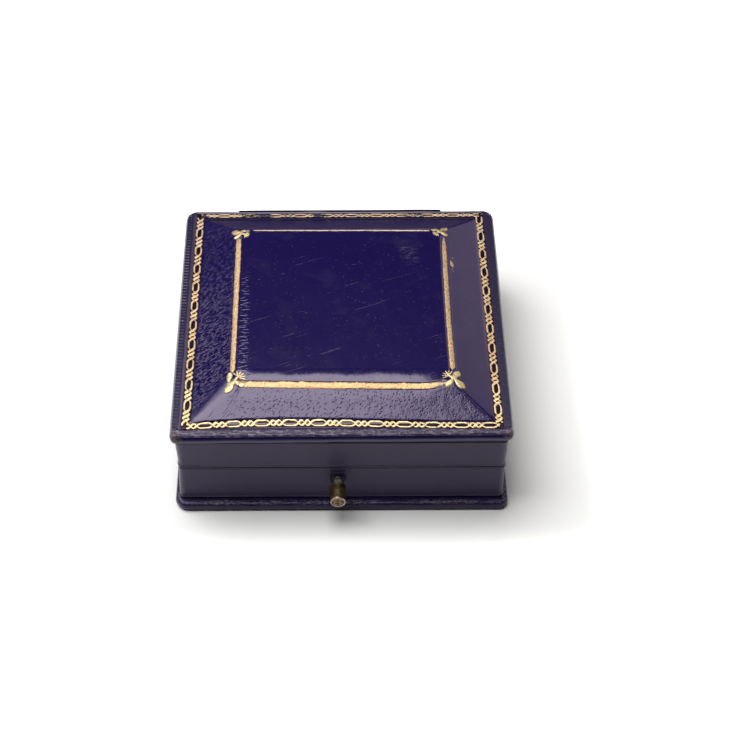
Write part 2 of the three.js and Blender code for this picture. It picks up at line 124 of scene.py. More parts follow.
def material(name):
    """A new material, the function that adds nodes to it, and its object coordinates."""
    made = bpy.data.materials.new(name)
    made.use_nodes = True
    made.node_tree.nodes.clear()
    add = partial(node, made.node_tree)
    return made, add, add("TexCoord", take="Object")


def per(size):
    """The texture scale at which a pattern repeats every so many millimetres."""
    return 1 / (size * MM)


def streaks(add, place, size, turn=0.0, stops=None, **noise):
    """Noise so many millimetres long along X, Y and Z, turned about Z in degrees, maybe ramped."""
    laid = add("Mapping", {"Vector": place, "Scale": [mm * MM for mm in size],
                           "Rotation": (0, 0, math.radians(turn))}, vector_type="TEXTURE")
    made = add("TexNoise", {"Vector": laid, "Scale": 1.0, **noise})
    return add("ValToRGB", {"Fac": made}, stops=stops) if stops else made


def relief(add, parts):
    """The sum of heights in millimetres: (signal, where it shows or None, its height)."""
    total = 0.0
    for signal, where, height in parts:
        if where is not None:
            signal = add("Math", {0: signal, 1: where}, operation="MULTIPLY")
        total = add("Math", {0: signal, 1: height, 2: total}, operation="MULTIPLY_ADD")
    return total


def layered(add, colour, *layers):
    """A hex colour with layers over it, each one its share and its hex or linked colour."""
    colour = linear(colour)
    for share, over in layers:
        over = linear(over) if isinstance(over, str) else over
        colour = add("Mix", {0: share, 6: colour, 7: over}, take=2, data_type="RGBA")
    return colour


def surface(add, colour, rough, height, **inputs):
    """Ends a material with its shader, bumped by height parts in millimetres as relief sums them.

    Each further input is named like its socket, with _ for a space.
    """
    bump = add("Bump", {"Height": relief(add, height), "Distance": MM, "Strength": 1.0})
    inputs = {name.replace("_", " "): value for name, value in inputs.items()}
    inputs |= {"Base Color": colour, "Roughness": rough, "Normal": bump}
    add("OutputMaterial", {"Surface": add("BsdfPrincipled", inputs)})


# Mesh helpers

def grid_faces(rows, cols, wrap_rows=False, wrap_cols=False):
    """Quads of a grid of rows by cols points; rows climb and columns run counterclockwise."""
    r = np.arange(rows if wrap_rows else rows - 1)[:, None]
    c = np.arange(cols if wrap_cols else cols - 1)[None, :]
    r2, c2 = (r + 1) % rows, (c + 1) % cols
    return np.stack([r * cols + c, r * cols + c2, r2 * cols + c2, r2 * cols + c], -1).reshape(-1, 4)


def capped(points):
    """Vertices and faces of rings (rows, cols, 3), closed by a fan at the first and last ring."""
    rows, cols = points.shape[:2]
    middles = points[[0, -1]].mean(1)
    verts = np.vstack([points.reshape(-1, 3), middles])
    i = np.arange(cols)
    j = (i + 1) % cols
    first = np.stack([np.full(cols, rows * cols), j, i], 1)
    last = (rows - 1) * cols
    final = np.stack([np.full(cols, rows * cols + 1), last + i, last + j], 1)
    return verts, grid_faces(rows, cols, wrap_cols=True).tolist() + first.tolist() + final.tolist()


def hoop(points):
    """Vertices and faces of rings that close on themselves, the last ring joined to the first."""
    rows, cols = points.shape[:2]
    return points.reshape(-1, 3), grid_faces(rows, cols, True, True).tolist()


def flipped(shape):
    """The same surface, facing the other way."""
    verts, faces = shape
    return verts, [face[::-1] for face in faces]


def joined(shapes):
    """Several (vertices, faces) as one."""
    verts, faces, start = [], [], 0
    for points, polygons in shapes:
        verts.append(points)
        faces += [[start + k for k in polygon] for polygon in polygons]
        start += len(points)
    return np.vstack(verts), faces


def piece(name, shape, finish, body, replaces=()):
    """A new object from (vertices in millimetres, faces), riding a body and standing for nodes."""
    verts, faces = shape
    mesh = bpy.data.meshes.new(name)
    mesh.from_pydata((np.asarray(verts) * MM).tolist(), [], faces)
    mesh.polygons.foreach_set("use_smooth", [True] * len(mesh.polygons))
    mesh.materials.append(finish)
    mesh.update()
    made = bpy.data.objects.new(name, mesh)
    bpy.context.collection.objects.link(made)
    if body:
        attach(made, body)
    if replaces:
        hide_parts(*replaces)
    return made


def store(made, **values):
    """Keeps one number a vertex on the mesh, under each name."""
    for name, numbers in values.items():
        attribute = made.data.attributes.new(name, "FLOAT", "POINT")
        attribute.data.foreach_set("value", np.clip(numbers, 0, 1).astype(np.float32))


def places(mesh):
    """The mesh's vertices in millimetres."""
    flat = np.empty(len(mesh.vertices) * 3, np.float32)
    mesh.vertices.foreach_get("co", flat)
    return flat.reshape(-1, 3).astype(float) / MM


def outlines(boxes, radii, heights, side=60, corner=8):
    """Rounded rectangles as rings: an arc at each corner, and each side split evenly.

    boxes is (rows, 4) of x low, x high, y low, y high; radii is (rows,) or (rows, 4) for the
    front right, back right, back left and front left corners; heights is (rows,).
    """
    boxes = np.atleast_2d(boxes).astype(float)
    rows = len(boxes)
    radii = np.asarray(radii, float)
    radii = np.broadcast_to(radii[:, None] if radii.ndim == 1 else radii, (rows, 4))
    x0, x1, y0, y1 = boxes.T
    ends = [(x1, y0, -1, 1), (x1, y1, -1, -1), (x0, y1, 1, -1), (x0, y0, 1, 1)]
    arcs = []
    for quarter, (cx, cy, sx, sy) in enumerate(ends):
        r = radii[:, quarter]
        angle = (quarter - 1 + np.linspace(0, 1, corner + 1)) * math.pi / 2
        centre = np.stack([cx + sx * r, cy + sy * r], 1)[:, None]
        arcs.append(centre + r[:, None, None] * np.stack([np.cos(angle), np.sin(angle)], 1))
    strips = []
    for quarter, arc in enumerate(arcs):
        after = arcs[(quarter + 1) % 4]
        share = (np.arange(1, side) / side)[None, :, None]
        strips += [arc, arc[:, -1:] * (1 - share) + after[:, :1] * share]
    flat = np.concatenate(strips, 1)
    tall = np.broadcast_to(np.asarray(heights, float)[:, None, None], flat.shape[:2] + (1,))
    return np.concatenate([flat, tall], 2)


def drawn_in(box, by):
    """Boxes drawn in from one box by each distance."""
    by = np.asarray(by, float).reshape(-1, 1)
    return np.asarray(box, float)[None] + by * np.array([1, -1, 1, -1])


def flat_box(low, high):
    """x low, x high, y low, y high of a pair of corners."""
    return np.array([low[0], high[0], low[1], high[1]])


def ease(value, low, high):
    """0 below low, 1 above high, smooth between."""
    t = np.clip((np.asarray(value, float) - low) / (high - low), 0, 1)
    return t * t * (3 - 2 * t)


# The lid's surface

def facet_place(x, y):
    """The share of the climb on the smooth facet where the leather bridges the front left mitre.

    It is a plane from the foot's corner, climbing 17 degrees and widening towards the flat top.
    """
    return 0.0695 * (x + 37.4) + 0.0255 * (y + 35.4)


def corner_place(x, y):
    """The share of the climb on the narrow facet along the front right mitre.

    It is a plane 0.2 mm under the mitre's edge, cutting the right slope 1.2 mm from it.
    """
    return 0.0796 * (FOOT[0] + LEAN - x) + 0.0279 * (FOOT[1] + y) - 0.046


def side_places(x, y):
    """The share for each side, right, left, back and front, as if its slope were alone.

    It is the distance from the side's foot over its run; the right foot leans out to the front.
    """
    run_x, run_y = FOOT - FRAME
    out = LEAN * ease(-y, 0, 34)
    right = (FOOT[0] + out - x) / (run_x - FRAME_SHIFT)
    left = (FOOT[0] + x) / (run_x + FRAME_SHIFT)
    return np.stack([right, left, (FOOT[1] - y) / run_y, (FOOT[1] + y) / run_y])


def bevel_place(x, y):
    """How far a point is up the bevel: 0 at its foot, 1 at the shoulder's middle, more beyond.

    A smooth minimum of the four sides' shares and the two facets' shares rounds the mitres.
    """
    shares = np.concatenate([side_places(x, y), [facet_place(x, y), corner_place(x, y)]])
    soft = 0.028 - 0.006 * ease(x, 5, 20) * ease(-y, 5, 20)
    return -soft * np.log(np.exp(-np.clip(shares, -1, 6) / soft).sum(0))


def chain_line(side, s):
    """Across place of a side's chain, s along the side; the hand tool drifts a little on each."""
    if side == "front":
        return -38.2 + 0.95 * np.sin(math.pi * np.clip((s + 38) / 76, 0, 1) ** 0.625) ** 2
    if side == "back":
        return 39.0 + 0 * s
    if side == "left":
        return -38.45 - 0.22 * (1 - ease(s, -38, -30))
    return 38.68 - 0.0069 * s


def fillet_line(side, s):
    """Across place of a side's gilt fillet, s along the side."""
    if side == "front":
        return -28.19 - 0.0186 * s + 0.7 * ease(s, 20.5, 27.0)
    if side == "back":
        return 28.51 - 0.01 * s
    if side == "left":
        return -27.3 + 0 * s
    return 27.75 + 0.2 * (s / 24) ** 2


def laid_along(side, s, across):
    """Points of a line along a side, from their places along and across it."""
    return np.stack([s, across] if side in ("front", "back") else [across, s], 1)


def tool_gap(line, reach, x, y):
    """Distance to the nearest of a border's four lines, each reaching so far along its side."""
    gaps = []
    for side in ("front", "back", "left", "right"):
        s, across = (x, y) if side in ("front", "back") else (y, x)
        gaps.append(np.where(abs(s) < reach, abs(across - line(side, s)), 9.0))
    return np.minimum.reduce(gaps)


def groove(x, y):
    """Depth of the pressed channels that hold the gilt chain and the fillets."""
    chain = 1 - ease(tool_gap(chain_line, 39.4, x, y), 1.0, 1.25)
    fillet = 1 - ease(tool_gap(fillet_line, 25.5, x, y), 0.82, 1.06)
    return 0.15 * chain + 0.17 * fillet


def waves(x, y):
    """Slow unevenness of hand-covered leather: a few crossed sines, under 0.06 mm."""
    return (0.022 * np.sin(x / 7.3 + 1.2 * np.sin(y / 11)) + 0.018 * np.sin(y / 5.9 + x / 17)
            + 0.010 * np.sin(x / 2.7 - y / 3.9) + 0.006 * np.sin(x / 1.3 + y / 2.1))


def front_roll(x, y):
    """How far the flat top sinks before the front shoulder.

    Its slope eases from 0 to 7 degrees within a millimetre of a wavy line, and stays.
    """
    begins = (24.5 + 0.25 * np.sin(x / 2.3 + 0.5) + 0.12 * np.sin(x / 0.8)
              - 2.0 * np.exp(-((x + 25) / 1.8) ** 2))
    v = -y - begins
    soft = 0.9
    t = np.clip(v / soft, 0, 1)
    return math.tan(math.radians(7)) * (soft * (t ** 3 - t ** 4 / 2) + np.clip(v - soft, 0, 2.6))


def lid_height(x, y):
    """Height of the covered lid: margin, bevel with a soft foot and a round shoulder, flat top.

    The flat top starts to roll over 4 mm before the front shoulder.
    """
    t = bevel_place(x, y)
    foot = 0.022
    t = foot * np.logaddexp(0, t / foot)
    start = 1 - SHOULDER
    over = np.clip(t, 0, 1 + SHOULDER) - start
    climb = np.where(t <= start, t, start + over - over * over / (4 * SHOULDER))
    crown = 0.1 * ease(t, 1, 3.2)
    # The cloth and board under the leather leave the long slopes a little hollow
    hollow = 0.10 * np.sin(np.clip(t, 0, 1) * math.pi)
    ahead = ease(x, -27.0, -25.0) * (1 - ease(x, 17.5, 25.5)) * (1 - ease(-y, 28.5, 32.0))
    return (MARGIN + RISE * climb + crown - hollow - front_roll(x, y) * ahead - groove(x, y)
            + waves(x, y) * ease(t, -0.2, 0.3))


def bevel_boxes(share):
    """Boxes on the way from the bevel's foot, at share 0, to the flat top, at share 1, and on."""
    reach = FOOT - (FOOT - FRAME) * np.asarray(share)[:, None]
    return np.stack([-reach[:, 0], reach[:, 0], -reach[:, 1], reach[:, 1]], 1)


def lid_cover():
    """The leather over the lid: rings from under the edge, round it and up to the middle.

    The edge is round below, all but upright, and bevelled above by a curve between a line and a
    quarter ellipse; inwards of it each ring's height is the lid's surface, and a second skin
    0.45 mm inside closes the shell. The front edge runs askew, and its margin sinks a little
    outwards.
    """
    box = flat_box(LID_LOW, LID_HIGH)
    turned_under = np.array([-40.75, 40.75, -40.1, 40.45])
    corners = np.array([1.9, 3.0, 3.2, 1.7])
    low_turn = np.linspace(-math.pi / 2, 0, 6)
    high_turn = np.linspace(0, math.pi / 2, 12)
    bevel_in, bevel_down, power = 0.70, 1.25, 1.6
    nose_in = np.concatenate([0.55 * (1 - np.cos(low_turn)), [0, 0],
                              bevel_in * (1 - np.cos(high_turn) ** power)])
    nose_z = np.concatenate([LID_LOW[2] + 0.4 * (1 + np.sin(low_turn)),
                             MARGIN - np.array([1.8, 1.5]),
                             MARGIN - bevel_down * (1 - np.sin(high_turn) ** power)])
    nose_in += 0.12 * np.clip((MARGIN - bevel_down - nose_z) / 1.15, 0, 1)
    margin_in = np.linspace(0.78, 5.0, 44)[:-1]
    share = np.concatenate([np.linspace(0.0, 0.8, 30), np.linspace(0.82, 1.24, 34),
                            np.linspace(1.3, 3.75, 26)])
    bevel = bevel_boxes(share)
    bevel[:, :2] += FRAME_SHIFT * np.minimum(share, 1)[:, None]
    outer_boxes = np.vstack([turned_under, drawn_in(box, nose_in), drawn_in(box, margin_in), bevel])
    outer_round = np.vstack([[corners * 0.4], np.maximum(corners - nose_in[:, None], 0.6),
                             np.maximum(corners - margin_in[:, None], 0.5),
                             np.full((len(share), 4), 0.55)])
    outer_z = np.concatenate([[LID_LOW[2]], nose_z, np.full(len(margin_in) + len(share), MARGIN)])
    outer = outlines(outer_boxes, outer_round, outer_z, 92, 10)
    edge = 1 + len(nose_in)
    x, y = outer[edge:, :, 0], outer[edge:, :, 1]
    outer[edge:, :, 2] = lid_height(x, y)
    # The front edge lies a little further out towards the left
    ahead = (0.47 - 0.0065 * outer[..., 0]) * ease(-outer[..., 1], 39.0, 41.0)
    outer[..., 1] -= ahead
    sunk = np.clip(-outer[..., 1] - 38.6, 0, None)
    outer[1:, :, 2] -= 0.03 * sunk[1:] + 0.03 * np.clip(sunk[1:] - 1.8, 0, None) ** 2
    # The worn edge wanders a little
    ring_x, ring_y = outer[1:edge, :, 0], outer[1:edge, :, 1]
    outer[1:edge, :, 2] += 0.06 * np.sin(ring_x / 3.1 + 0.7) * np.sin(ring_x / 9.7 + ring_y / 7.9)
    share_in = [3.6, 2.0, 1.14, 1.0, 0.86, 0.5, 0.04]
    inner_boxes = np.vstack([bevel_boxes(share_in), drawn_in(box, [1.0, SKIN, 0.8]), turned_under])
    inner = outlines(inner_boxes, 0.5, np.full(len(inner_boxes), MARGIN), 92, 10)
    count = len(share_in)
    inner[:count, :, 2] = lid_height(inner[:count, :, 0], inner[:count, :, 1])
    inner[:count + 1, :, 2] -= SKIN
    inner[count + 1, :, 2] = (MARGIN + LID_LOW[2]) / 2
    inner[count + 2:, :, 2] = LID_LOW[2] + SKIN
    return capped(np.vstack([inner, outer]))


def ribbon(path, half_width, rise):
    """A low rounded band along a path on the lid: its section is half an ellipse on a flat sole."""
    sink = 0.05
    path = np.asarray(path, float)
    half_width = np.broadcast_to(half_width, len(path))
    along = np.gradient(path, axis=0)
    along /= np.linalg.norm(along, axis=1, keepdims=True) + 1e-9
    across = np.stack([-along[:, 1], along[:, 0]], 1)
    angle = np.linspace(0, math.pi, 6)
    offset = np.concatenate([np.cos(angle), [-0.9, 0.9]])
    lift = np.concatenate([rise * np.sin(angle), [-sink, -sink]])
    flat = path[:, None] + across[:, None] * (half_width[:, None] * offset)[..., None]
    z = lid_height(flat[..., 0], flat[..., 1]) + 0.015 + lift
    points = np.concatenate([flat, z[..., None]], 2)
    rows, cols = points.shape[:2]
    faces = grid_faces(rows, cols, wrap_cols=True)[:, ::-1].tolist()
    faces += [list(range(cols)), list(range(rows * cols - 1, (rows - 1) * cols - 1, -1))]
    return points.reshape(-1, 3), faces


def strand(places_along, first_link, sign, twist):
    """Sideways place and half width of one strand of the twisted chain.

    Each period holds one long link and two small ones; the strand crosses the middle line at each
    link's ends. Where it climbs it lies over the other strand and is broad, where it falls it
    passes under and is thin, by the share twist.
    """
    phase = (places_along - first_link) / PERIOD
    turn = np.floor(phase)
    u = (phase - turn) * PERIOD
    small = (PERIOD - LONG_LINK) / 2
    v = np.minimum(u, LONG_LINK - u) / (0.30 * LONG_LINK)
    long_shape = 0.74 * (1 - np.clip(1 - v, 0, None) ** 2)
    k = np.where(u < LONG_LINK, 0, 1 + np.floor((u - LONG_LINK) / small))
    w = (u - LONG_LINK) / small
    small_shape = 0.66 * np.sin(math.pi * (w - np.floor(w)))
    aside = np.where(u < LONG_LINK, long_shape, small_shape) * np.where((turn * 3 + k) % 2, -1, 1)
    slope = np.gradient(aside, places_along)
    half = np.where(u < LONG_LINK, 0.24, 0.27)
    return sign * aside, half * (1 + twist * np.tanh(1.3 * sign * slope))


# Along each side of the lid: the chain's start and end, its first long link's start, its twist
# and how much of its width was pressed
CHAIN_SIDES = {
    "front": (-38.3, 39.0, -35.82, 0.35, 1.0),
    "back": (-38.2, 38.6, -34.0, 0.25, 0.62),
    "left": (-38.0, 38.3, -33.4, 0.70, 1.0),
    "right": (-37.4, 38.3, -35.1, 0.65, 1.0),
}


def chain_border():
    """The gilt chain round the margin: two crossing strands on each side."""
    shapes = []
    for side, (start, end, first, twist, wide) in CHAIN_SIDES.items():
        s = np.arange(start, end, 0.13)
        for sign in (1, -1):
            aside, half = strand(s, first, sign, twist)
            rng = np.random.default_rng(len(shapes) + 11)
            wobble = np.convolve(rng.normal(0, 0.03, len(s)), np.ones(5) / 5, "same")
            path = laid_along(side, s, chain_line(side, s) + aside * wide + wobble)
            shapes.append(ribbon(path, half * wide ** 0.5 * (1 + 2.2 * wobble), 0.11))
    return joined(shapes)


# Along each side of the lid: the fillet's start and end, its half widths there and its end's taper
FILLET_SIDES = {
    "front": (-25.2, 26.0, 0.86, 0.80, 0.08),
    "back": (-23.6, 24.2, 0.34, 0.34, 0.02),
    "left": (-24.0, 25.0, 0.66, 0.76, 0.02),
    "right": (-23.4, 25.4, 0.72, 0.58, 0.08),
}


def fillets():
    """The four gilt lines on the shoulder, ragged at their edges where the leaf has flaked."""
    shapes = []
    for k, (side, (start, end, wide_start, wide_end, taper)) in enumerate(FILLET_SIDES.items()):
        t = np.linspace(0, 1, 420)
        s = start + (end - start) * t
        rng = np.random.default_rng(40 + k)
        ragged = np.convolve(rng.normal(0, 0.13, len(t)), np.ones(4) / 4, "same")
        drift = 0.05 * np.convolve(rng.normal(0, 1.0, len(t)), np.ones(9) / 9, "same")
        ends = np.minimum(ease(t, 0, 0.02), 1 - ease(t, 1 - taper, 1.02)) * 0.75 + 0.25
        path = laid_along(side, s, fillet_line(side, s) + drift)
        half = (wide_start * (1 - t) + wide_end * t) * ends * (1 + ragged)
        shapes.append(ribbon(path, half, 0.07))
    return joined(shapes)


def petal(root, tip, half, fullest, blunt, rise):
    """A swelling band from root to tip: half width is half * sin(pi * t ** fullest) ** blunt."""
    root, tip = np.asarray(root, float), np.asarray(tip, float)
    t = np.linspace(0, 1, 17)
    path = root + np.outer(t, tip - root)
    swell = half * np.sin(np.clip(t, 0.03, 0.985) ** fullest * math.pi) ** blunt + 0.04
    return ribbon(path, swell, rise)


# Each corner flower: its hub, the bud's heading in degrees, bud length and half width, the two
# lobes' root, tip and half width from the hub, the waist's two ends, the fingers' reach and spread
FLOWERS = [
    ((27.87, -26.48), -42.6, 3.8, 1.15, ((0.0, 0.2), (1.7, 2.5), 1.0),
     ((0.1, -0.2), (-1.9, -2.6), 0.8), ((-0.2, -0.5), (0.9, 0.6)), 3.0, 62),
    ((-26.47, -26.65), -125.0, 4.26, 1.1, ((-1.7, -0.6), (-1.4, 2.75), 0.72),
     ((-0.2, -0.4), (2.4, -1.5), 0.85), ((-2.1, -0.9), (1.2, -0.7)), 3.0, 70),
    ((-26.54, 27.03), 157.0, 3.0, 0.95, ((-0.3, 0.9), (2.1, 1.4), 0.6),
     ((0.0, -0.2), (-2.1, -1.6), 0.66), ((-0.7, 0.9), (0.3, -0.5)), 2.2, 60),
    ((26.74, 27.37), 40.5, 3.0, 0.95, ((0.0, 0.6), (-2.1, 1.4), 0.6),
     ((0.2, -0.1), (2.4, -1.2), 0.66), ((-0.6, 0.6), (0.5, -0.4)), 1.9, 60),
]


def fleurons():
    """A stamped flower at each corner of the fillets.

    A broad blunt bud points outwards, two fat lobes lie beside it, a waist ties them, and a palm
    with six short fingers opens inwards over the flat top.
    """
    shapes = []
    for hub, heading, length, wide, lobe_a, lobe_b, waist, reach, spread in FLOWERS:
        hub = np.array(hub)
        out = math.radians(heading)
        way = np.array([math.cos(out), math.sin(out)])
        shapes.append(petal(hub + 0.1 * way, hub + length * way, wide, 1.6, 0.62, 0.26))
        for root, tip, half in (lobe_a, lobe_b):
            shapes.append(petal(hub + root, hub + tip, half, 1.35, 0.55, 0.2))
        shapes.append(petal(hub + waist[0], hub + waist[1], 0.5, 1.0, 0.5, 0.17))
        shapes.append(petal(hub + 0.5 * way, hub - 0.62 * reach * way, 0.42, 0.7, 0.5, 0.16))
        palm = hub - 0.42 * reach * way
        for turn in np.linspace(-spread, spread, 6):
            aim = out + math.pi + math.radians(turn)
            tip = hub - 0.3 * reach * way + 0.72 * reach * np.array([math.cos(aim), math.sin(aim)])
            shapes.append(petal(palm, tip, 0.17, 1.3, 0.5, 0.12))
    return joined(shapes)


def flecks_of_gold():
    """Stray leaf on the right bevel: one flake a millimetre and a half long and three crumbs."""
    flakes = [((29.5, 16.9), (29.9, 14.3), 0.42), ((29.95, 18.25), (30.0, 17.9), 0.1),
              ((29.9, 13.0), (30.0, 12.7), 0.12), ((29.6, 13.7), (29.7, 13.5), 0.08)]
    return joined([petal(root, tip, half, 1.0, 0.7, 0.05) for root, tip, half in flakes])


# Walls, boards and spine

def notch_line(y):
    """How far the V notch along the back seam cuts from the hinge's height, at depth y."""
    return np.clip(y - (HINGE_Y - 0.05), 0, None) * NOTCH


def pressed(x, z):
    """How deep the base's front leather is pressed: a crease, a dent and the button's hole."""
    across = abs(x - BUTTON_X)
    crease = 0.06 * np.exp(-((z - 12.35) / 0.12) ** 2) * ease(x, -4, 6)
    dent = 0.30 * (1 - ease(across, 1.3, 1.75)) * (1 - ease(abs(z - 12.8), 0.15, 0.55))
    hole = 0.90 * (1 - ease((across / 1.7) ** 4 + ((z - 9.9) / 1.75) ** 4, 0.75, 1.15))
    return np.maximum(np.maximum(crease, dent), hole)


def wall_cover(low, high, side, flare_low=0.0, flare_high=0.0, tuck=0.0, press=None):
    """A leather strip round the walls: outer face with turned edges and beads, then its inner face.

    Each ring is drawn in by a quarter round near the rims, less a bead 0.5 mm from each rim, and
    by a tuck 1.15 mm under the top, and let out by a straight flare at its foot or its top. The
    back seam's V notch is cut by clamping each height to the notch's plane.
    """
    box = flat_box(low, high)
    near = np.array([0, 0.03, 0.07, 0.12, 0.18, 0.24, 0.30, 0.36, 0.42, 0.48, 0.55, 0.65])
    z = np.concatenate([low[2] + near, np.linspace(low[2] + 0.85, high[2] - 1.8, 32),
                        high[2] - np.linspace(1.65, 0.75, 10), high[2] - near[::-1]])
    rim = np.minimum(z - low[2], high[2] - z)
    turn = 0.16
    by = turn - np.sqrt(np.clip(turn ** 2 - np.clip(turn - rim, 0, turn) ** 2, 0, None))
    by = by - 0.13 * np.exp(-((rim - 0.5) / 0.13) ** 2)
    by = by + tuck * np.exp(-((high[2] - z - 1.15) / 0.22) ** 2)
    up = (z - low[2]) / (high[2] - low[2])
    out = flare_high * up ** 1.3 + flare_low * (1 - up)
    outer = outlines(drawn_in(box, by - out), 1.3 - by, z, side, 8)
    x, y, tall = outer[..., 0], outer[..., 1], outer[..., 2]
    swell = 0.05 * np.sin(x / 9.1 + 0.4) * np.sin(tall / 3.3) + 0.03 * np.sin(y / 6.7 + tall / 2.9)
    half_width, kept_in = 41.0, 0.06
    away = (outer[..., :2] - np.array([x.mean(), y.mean()])) / half_width
    outer[..., :2] += away * (swell - kept_in)[..., None] * ease(z - low[2], 0, 2)[:, None, None]
    if press:
        outer[..., 1] += press(outer[..., 0], tall) * (outer[..., 1] < low[1] + 0.6)
    inner = outlines(drawn_in(box, [SKIN, SKIN]), 0.85, [high[2], low[2]], side, 8)
    points = np.vstack([outer, inner])
    cut = notch_line(points[..., 1])
    if low[2] < HINGE_Z < high[2] + 1:
        points[..., 2] = np.minimum(points[..., 2], np.where(cut > 0, HINGE_Z - cut, 99))
    else:
        points[..., 2] = np.maximum(points[..., 2], np.where(cut > 0, HINGE_Z + cut, -99))
    return hoop(points)


def rim_leather(rim, upwards):
    """The leather turned over a rim: cells of 0.3 mm between the room and the walls' outside.

    Cells over the hinge leaves, the catch and the hook are left out; the shell's top and bottom
    follow the rim and its notch, and each border edge of the kept cells gets a side face.
    """
    outer = np.array([-41.04, 41.04, -40.34, 40.69])
    room = np.array([-37.4, 37.4, -34.15, 34.75])
    xs = np.linspace(outer[0], outer[1], 274)
    ys = np.linspace(outer[2], outer[3], 270)
    cx, cy = np.meshgrid((xs[1:] + xs[:-1]) / 2, (ys[1:] + ys[:-1]) / 2, indexing="ij")
    keep = (cx < room[0]) | (cx > room[1]) | (cy < room[2]) | (cy > room[3])
    # The corners are round; the hinge leaves and the catch behind the button stay clear
    keep &= np.hypot(np.clip(abs(cx) - 39.9, 0, None), np.clip(abs(cy - 0.2) - 39.4, 0, None)) < 1.0
    for hinge_x in (-20, 20):
        keep &= ~((abs(cx - hinge_x) < 6.3) & (cy > 34.9))
    keep &= ~((abs(cx - BUTTON_X) < 5.8) & (cy > -38.5) & (cy < -34))
    x, y = np.meshgrid(xs, ys, indexing="ij")
    base = rim - upwards * np.clip(notch_line(y) - abs(HINGE_Z - rim), 0, None)
    # In the notch it thins out towards the hinge line, so that the open lid's rim clears it
    thick = np.where(y < HINGE_Y - 0.2, 0.07, np.clip(0.032 * (y - HINGE_Y), 0.004, 0.07))
    cols = len(ys)
    ids = np.arange(len(xs) * cols).reshape(len(xs), cols)
    a, b, c, d = ids[:-1, :-1], ids[1:, :-1], ids[1:, 1:], ids[:-1, 1:]
    top = np.stack([a, b, c, d], -1)[keep]
    below = len(xs) * cols
    padded = np.pad(keep, 1)
    sides = []
    for edge, other in (((a, b), padded[1:-1, :-2]), ((b, c), padded[2:, 1:-1]),
                        ((c, d), padded[1:-1, 2:]), ((d, a), padded[:-2, 1:-1])):
        open_edge = keep & ~other
        p, q = edge[0][open_edge], edge[1][open_edge]
        sides.append(np.stack([q, p, p + below, q + below], -1))
    faces = np.vstack([top, top[:, ::-1] + below] + sides)
    high, low = (base + thick, base) if upwards > 0 else (base, base - thick)
    verts = np.concatenate([np.stack([x, y, z], -1).reshape(-1, 3) for z in (high, low)])
    used = np.unique(faces)
    renumber = np.zeros(len(verts), int)
    renumber[used] = np.arange(len(used))
    return verts[used], renumber[faces].tolist()


def board_cover():
    """The leather over the base board's edge: turned in below, round nosed, and in under the walls.

    The nose is a half round with a shallow line pressed in above its middle.
    """
    box = flat_box(BOARD_LOW, BOARD_HIGH)
    high = BOARD_HIGH[2]
    angle = np.linspace(-math.pi / 2, math.pi / 2, 41)
    nose_z = high / 2 + high / 2 * np.sin(angle)
    line = 0.07 * np.exp(-((nose_z - 1.62) / 0.12) ** 2)
    top = np.linspace(1.1, 5.5, 30)
    by = np.concatenate([[4.3, 2.6], 0.95 * (1 - np.cos(angle)) + line, top])
    z = np.concatenate([[0, 0], nose_z, np.full(len(top), high)])
    back_by = [5.5, 1.2, SKIN, SKIN, 1.2, 4.3]
    back_z = [high - SKIN, high - SKIN, high - 0.9, 0.9, SKIN, SKIN]
    corners = np.array([2.6, 2.2, 2.2, 3.4])
    by_all = np.concatenate([by, back_by])
    z_all = np.concatenate([z, back_z])
    radii = np.maximum(corners[None] - by_all[:, None], 0.5)
    points = outlines(drawn_in(box, by_all), radii, z_all, 150, 14)
    x, y = points[..., 0], points[..., 1]
    on_top = ease(z_all, 1.7, 2.5) * (np.arange(len(z_all)) < len(by))
    rough = (0.05 * np.sin(x / 0.9 + y / 1.3) * np.sin(x / 2.7 - y / 1.9)
             + 0.04 * np.sin(x / 2.3 + y / 3.1) * np.sin(x / 7.7 - y / 5.3))
    points[..., 2] += rough * on_top[:, None]
    return hoop(points)


def spine():
    """The leather strip over the hinges, turned over the lid's back edge.

    It is flat, ripples a little at the hinge and leans onto the lid's edge; at the top a quarter
    ellipse brings it forwards, and its ends thin out over the last millimetres.
    """
    low, high = span("spine_base")[0], span("spine_lid")[1]
    z = np.linspace(low[2], MARGIN - 0.5, 130)
    x = np.linspace(low[0], high[0], 90)
    zz, xx = np.meshgrid(z, x, indexing="ij")
    edge = ease(abs(xx), 0, 28) ** 14
    near = np.exp(-((zz - HINGE_Z) / 2.2) ** 2)
    lean = 0.2 * ease(zz, 24.5, 26.8)
    outer_y = high[1] - 0.03 - 0.12 * edge - lean + 0.02 * np.sin(xx / 4.7) * near
    inner_y = np.full_like(outer_y, high[1] - 0.38)
    angle = np.linspace(0, math.pi / 2, 9)[1:]
    lifted = 0.12 + 0.12 * ease(x, 14, 20)
    shells = []
    for shell_y, rise in ((outer_y, 0.5 + lifted), (inner_y, 0.5 + 0.5 * lifted)):
        back_y = shell_y[-1:]
        over_y = 40.75 + (back_y - 40.75) * np.cos(angle)[:, None]
        over_z = MARGIN - 0.5 + rise * np.sin(angle)[:, None]
        over = np.stack([np.broadcast_to(x, over_y.shape), over_y, over_z], -1)
        shells.append(np.concatenate([np.stack([xx, shell_y, zz], -1), over]))
    outer, inner = shells
    # Columns run out along the outer face and back along the inner one
    return flipped(capped(np.concatenate([outer, inner[:, ::-1]], 1)))


# Button, pads and linings

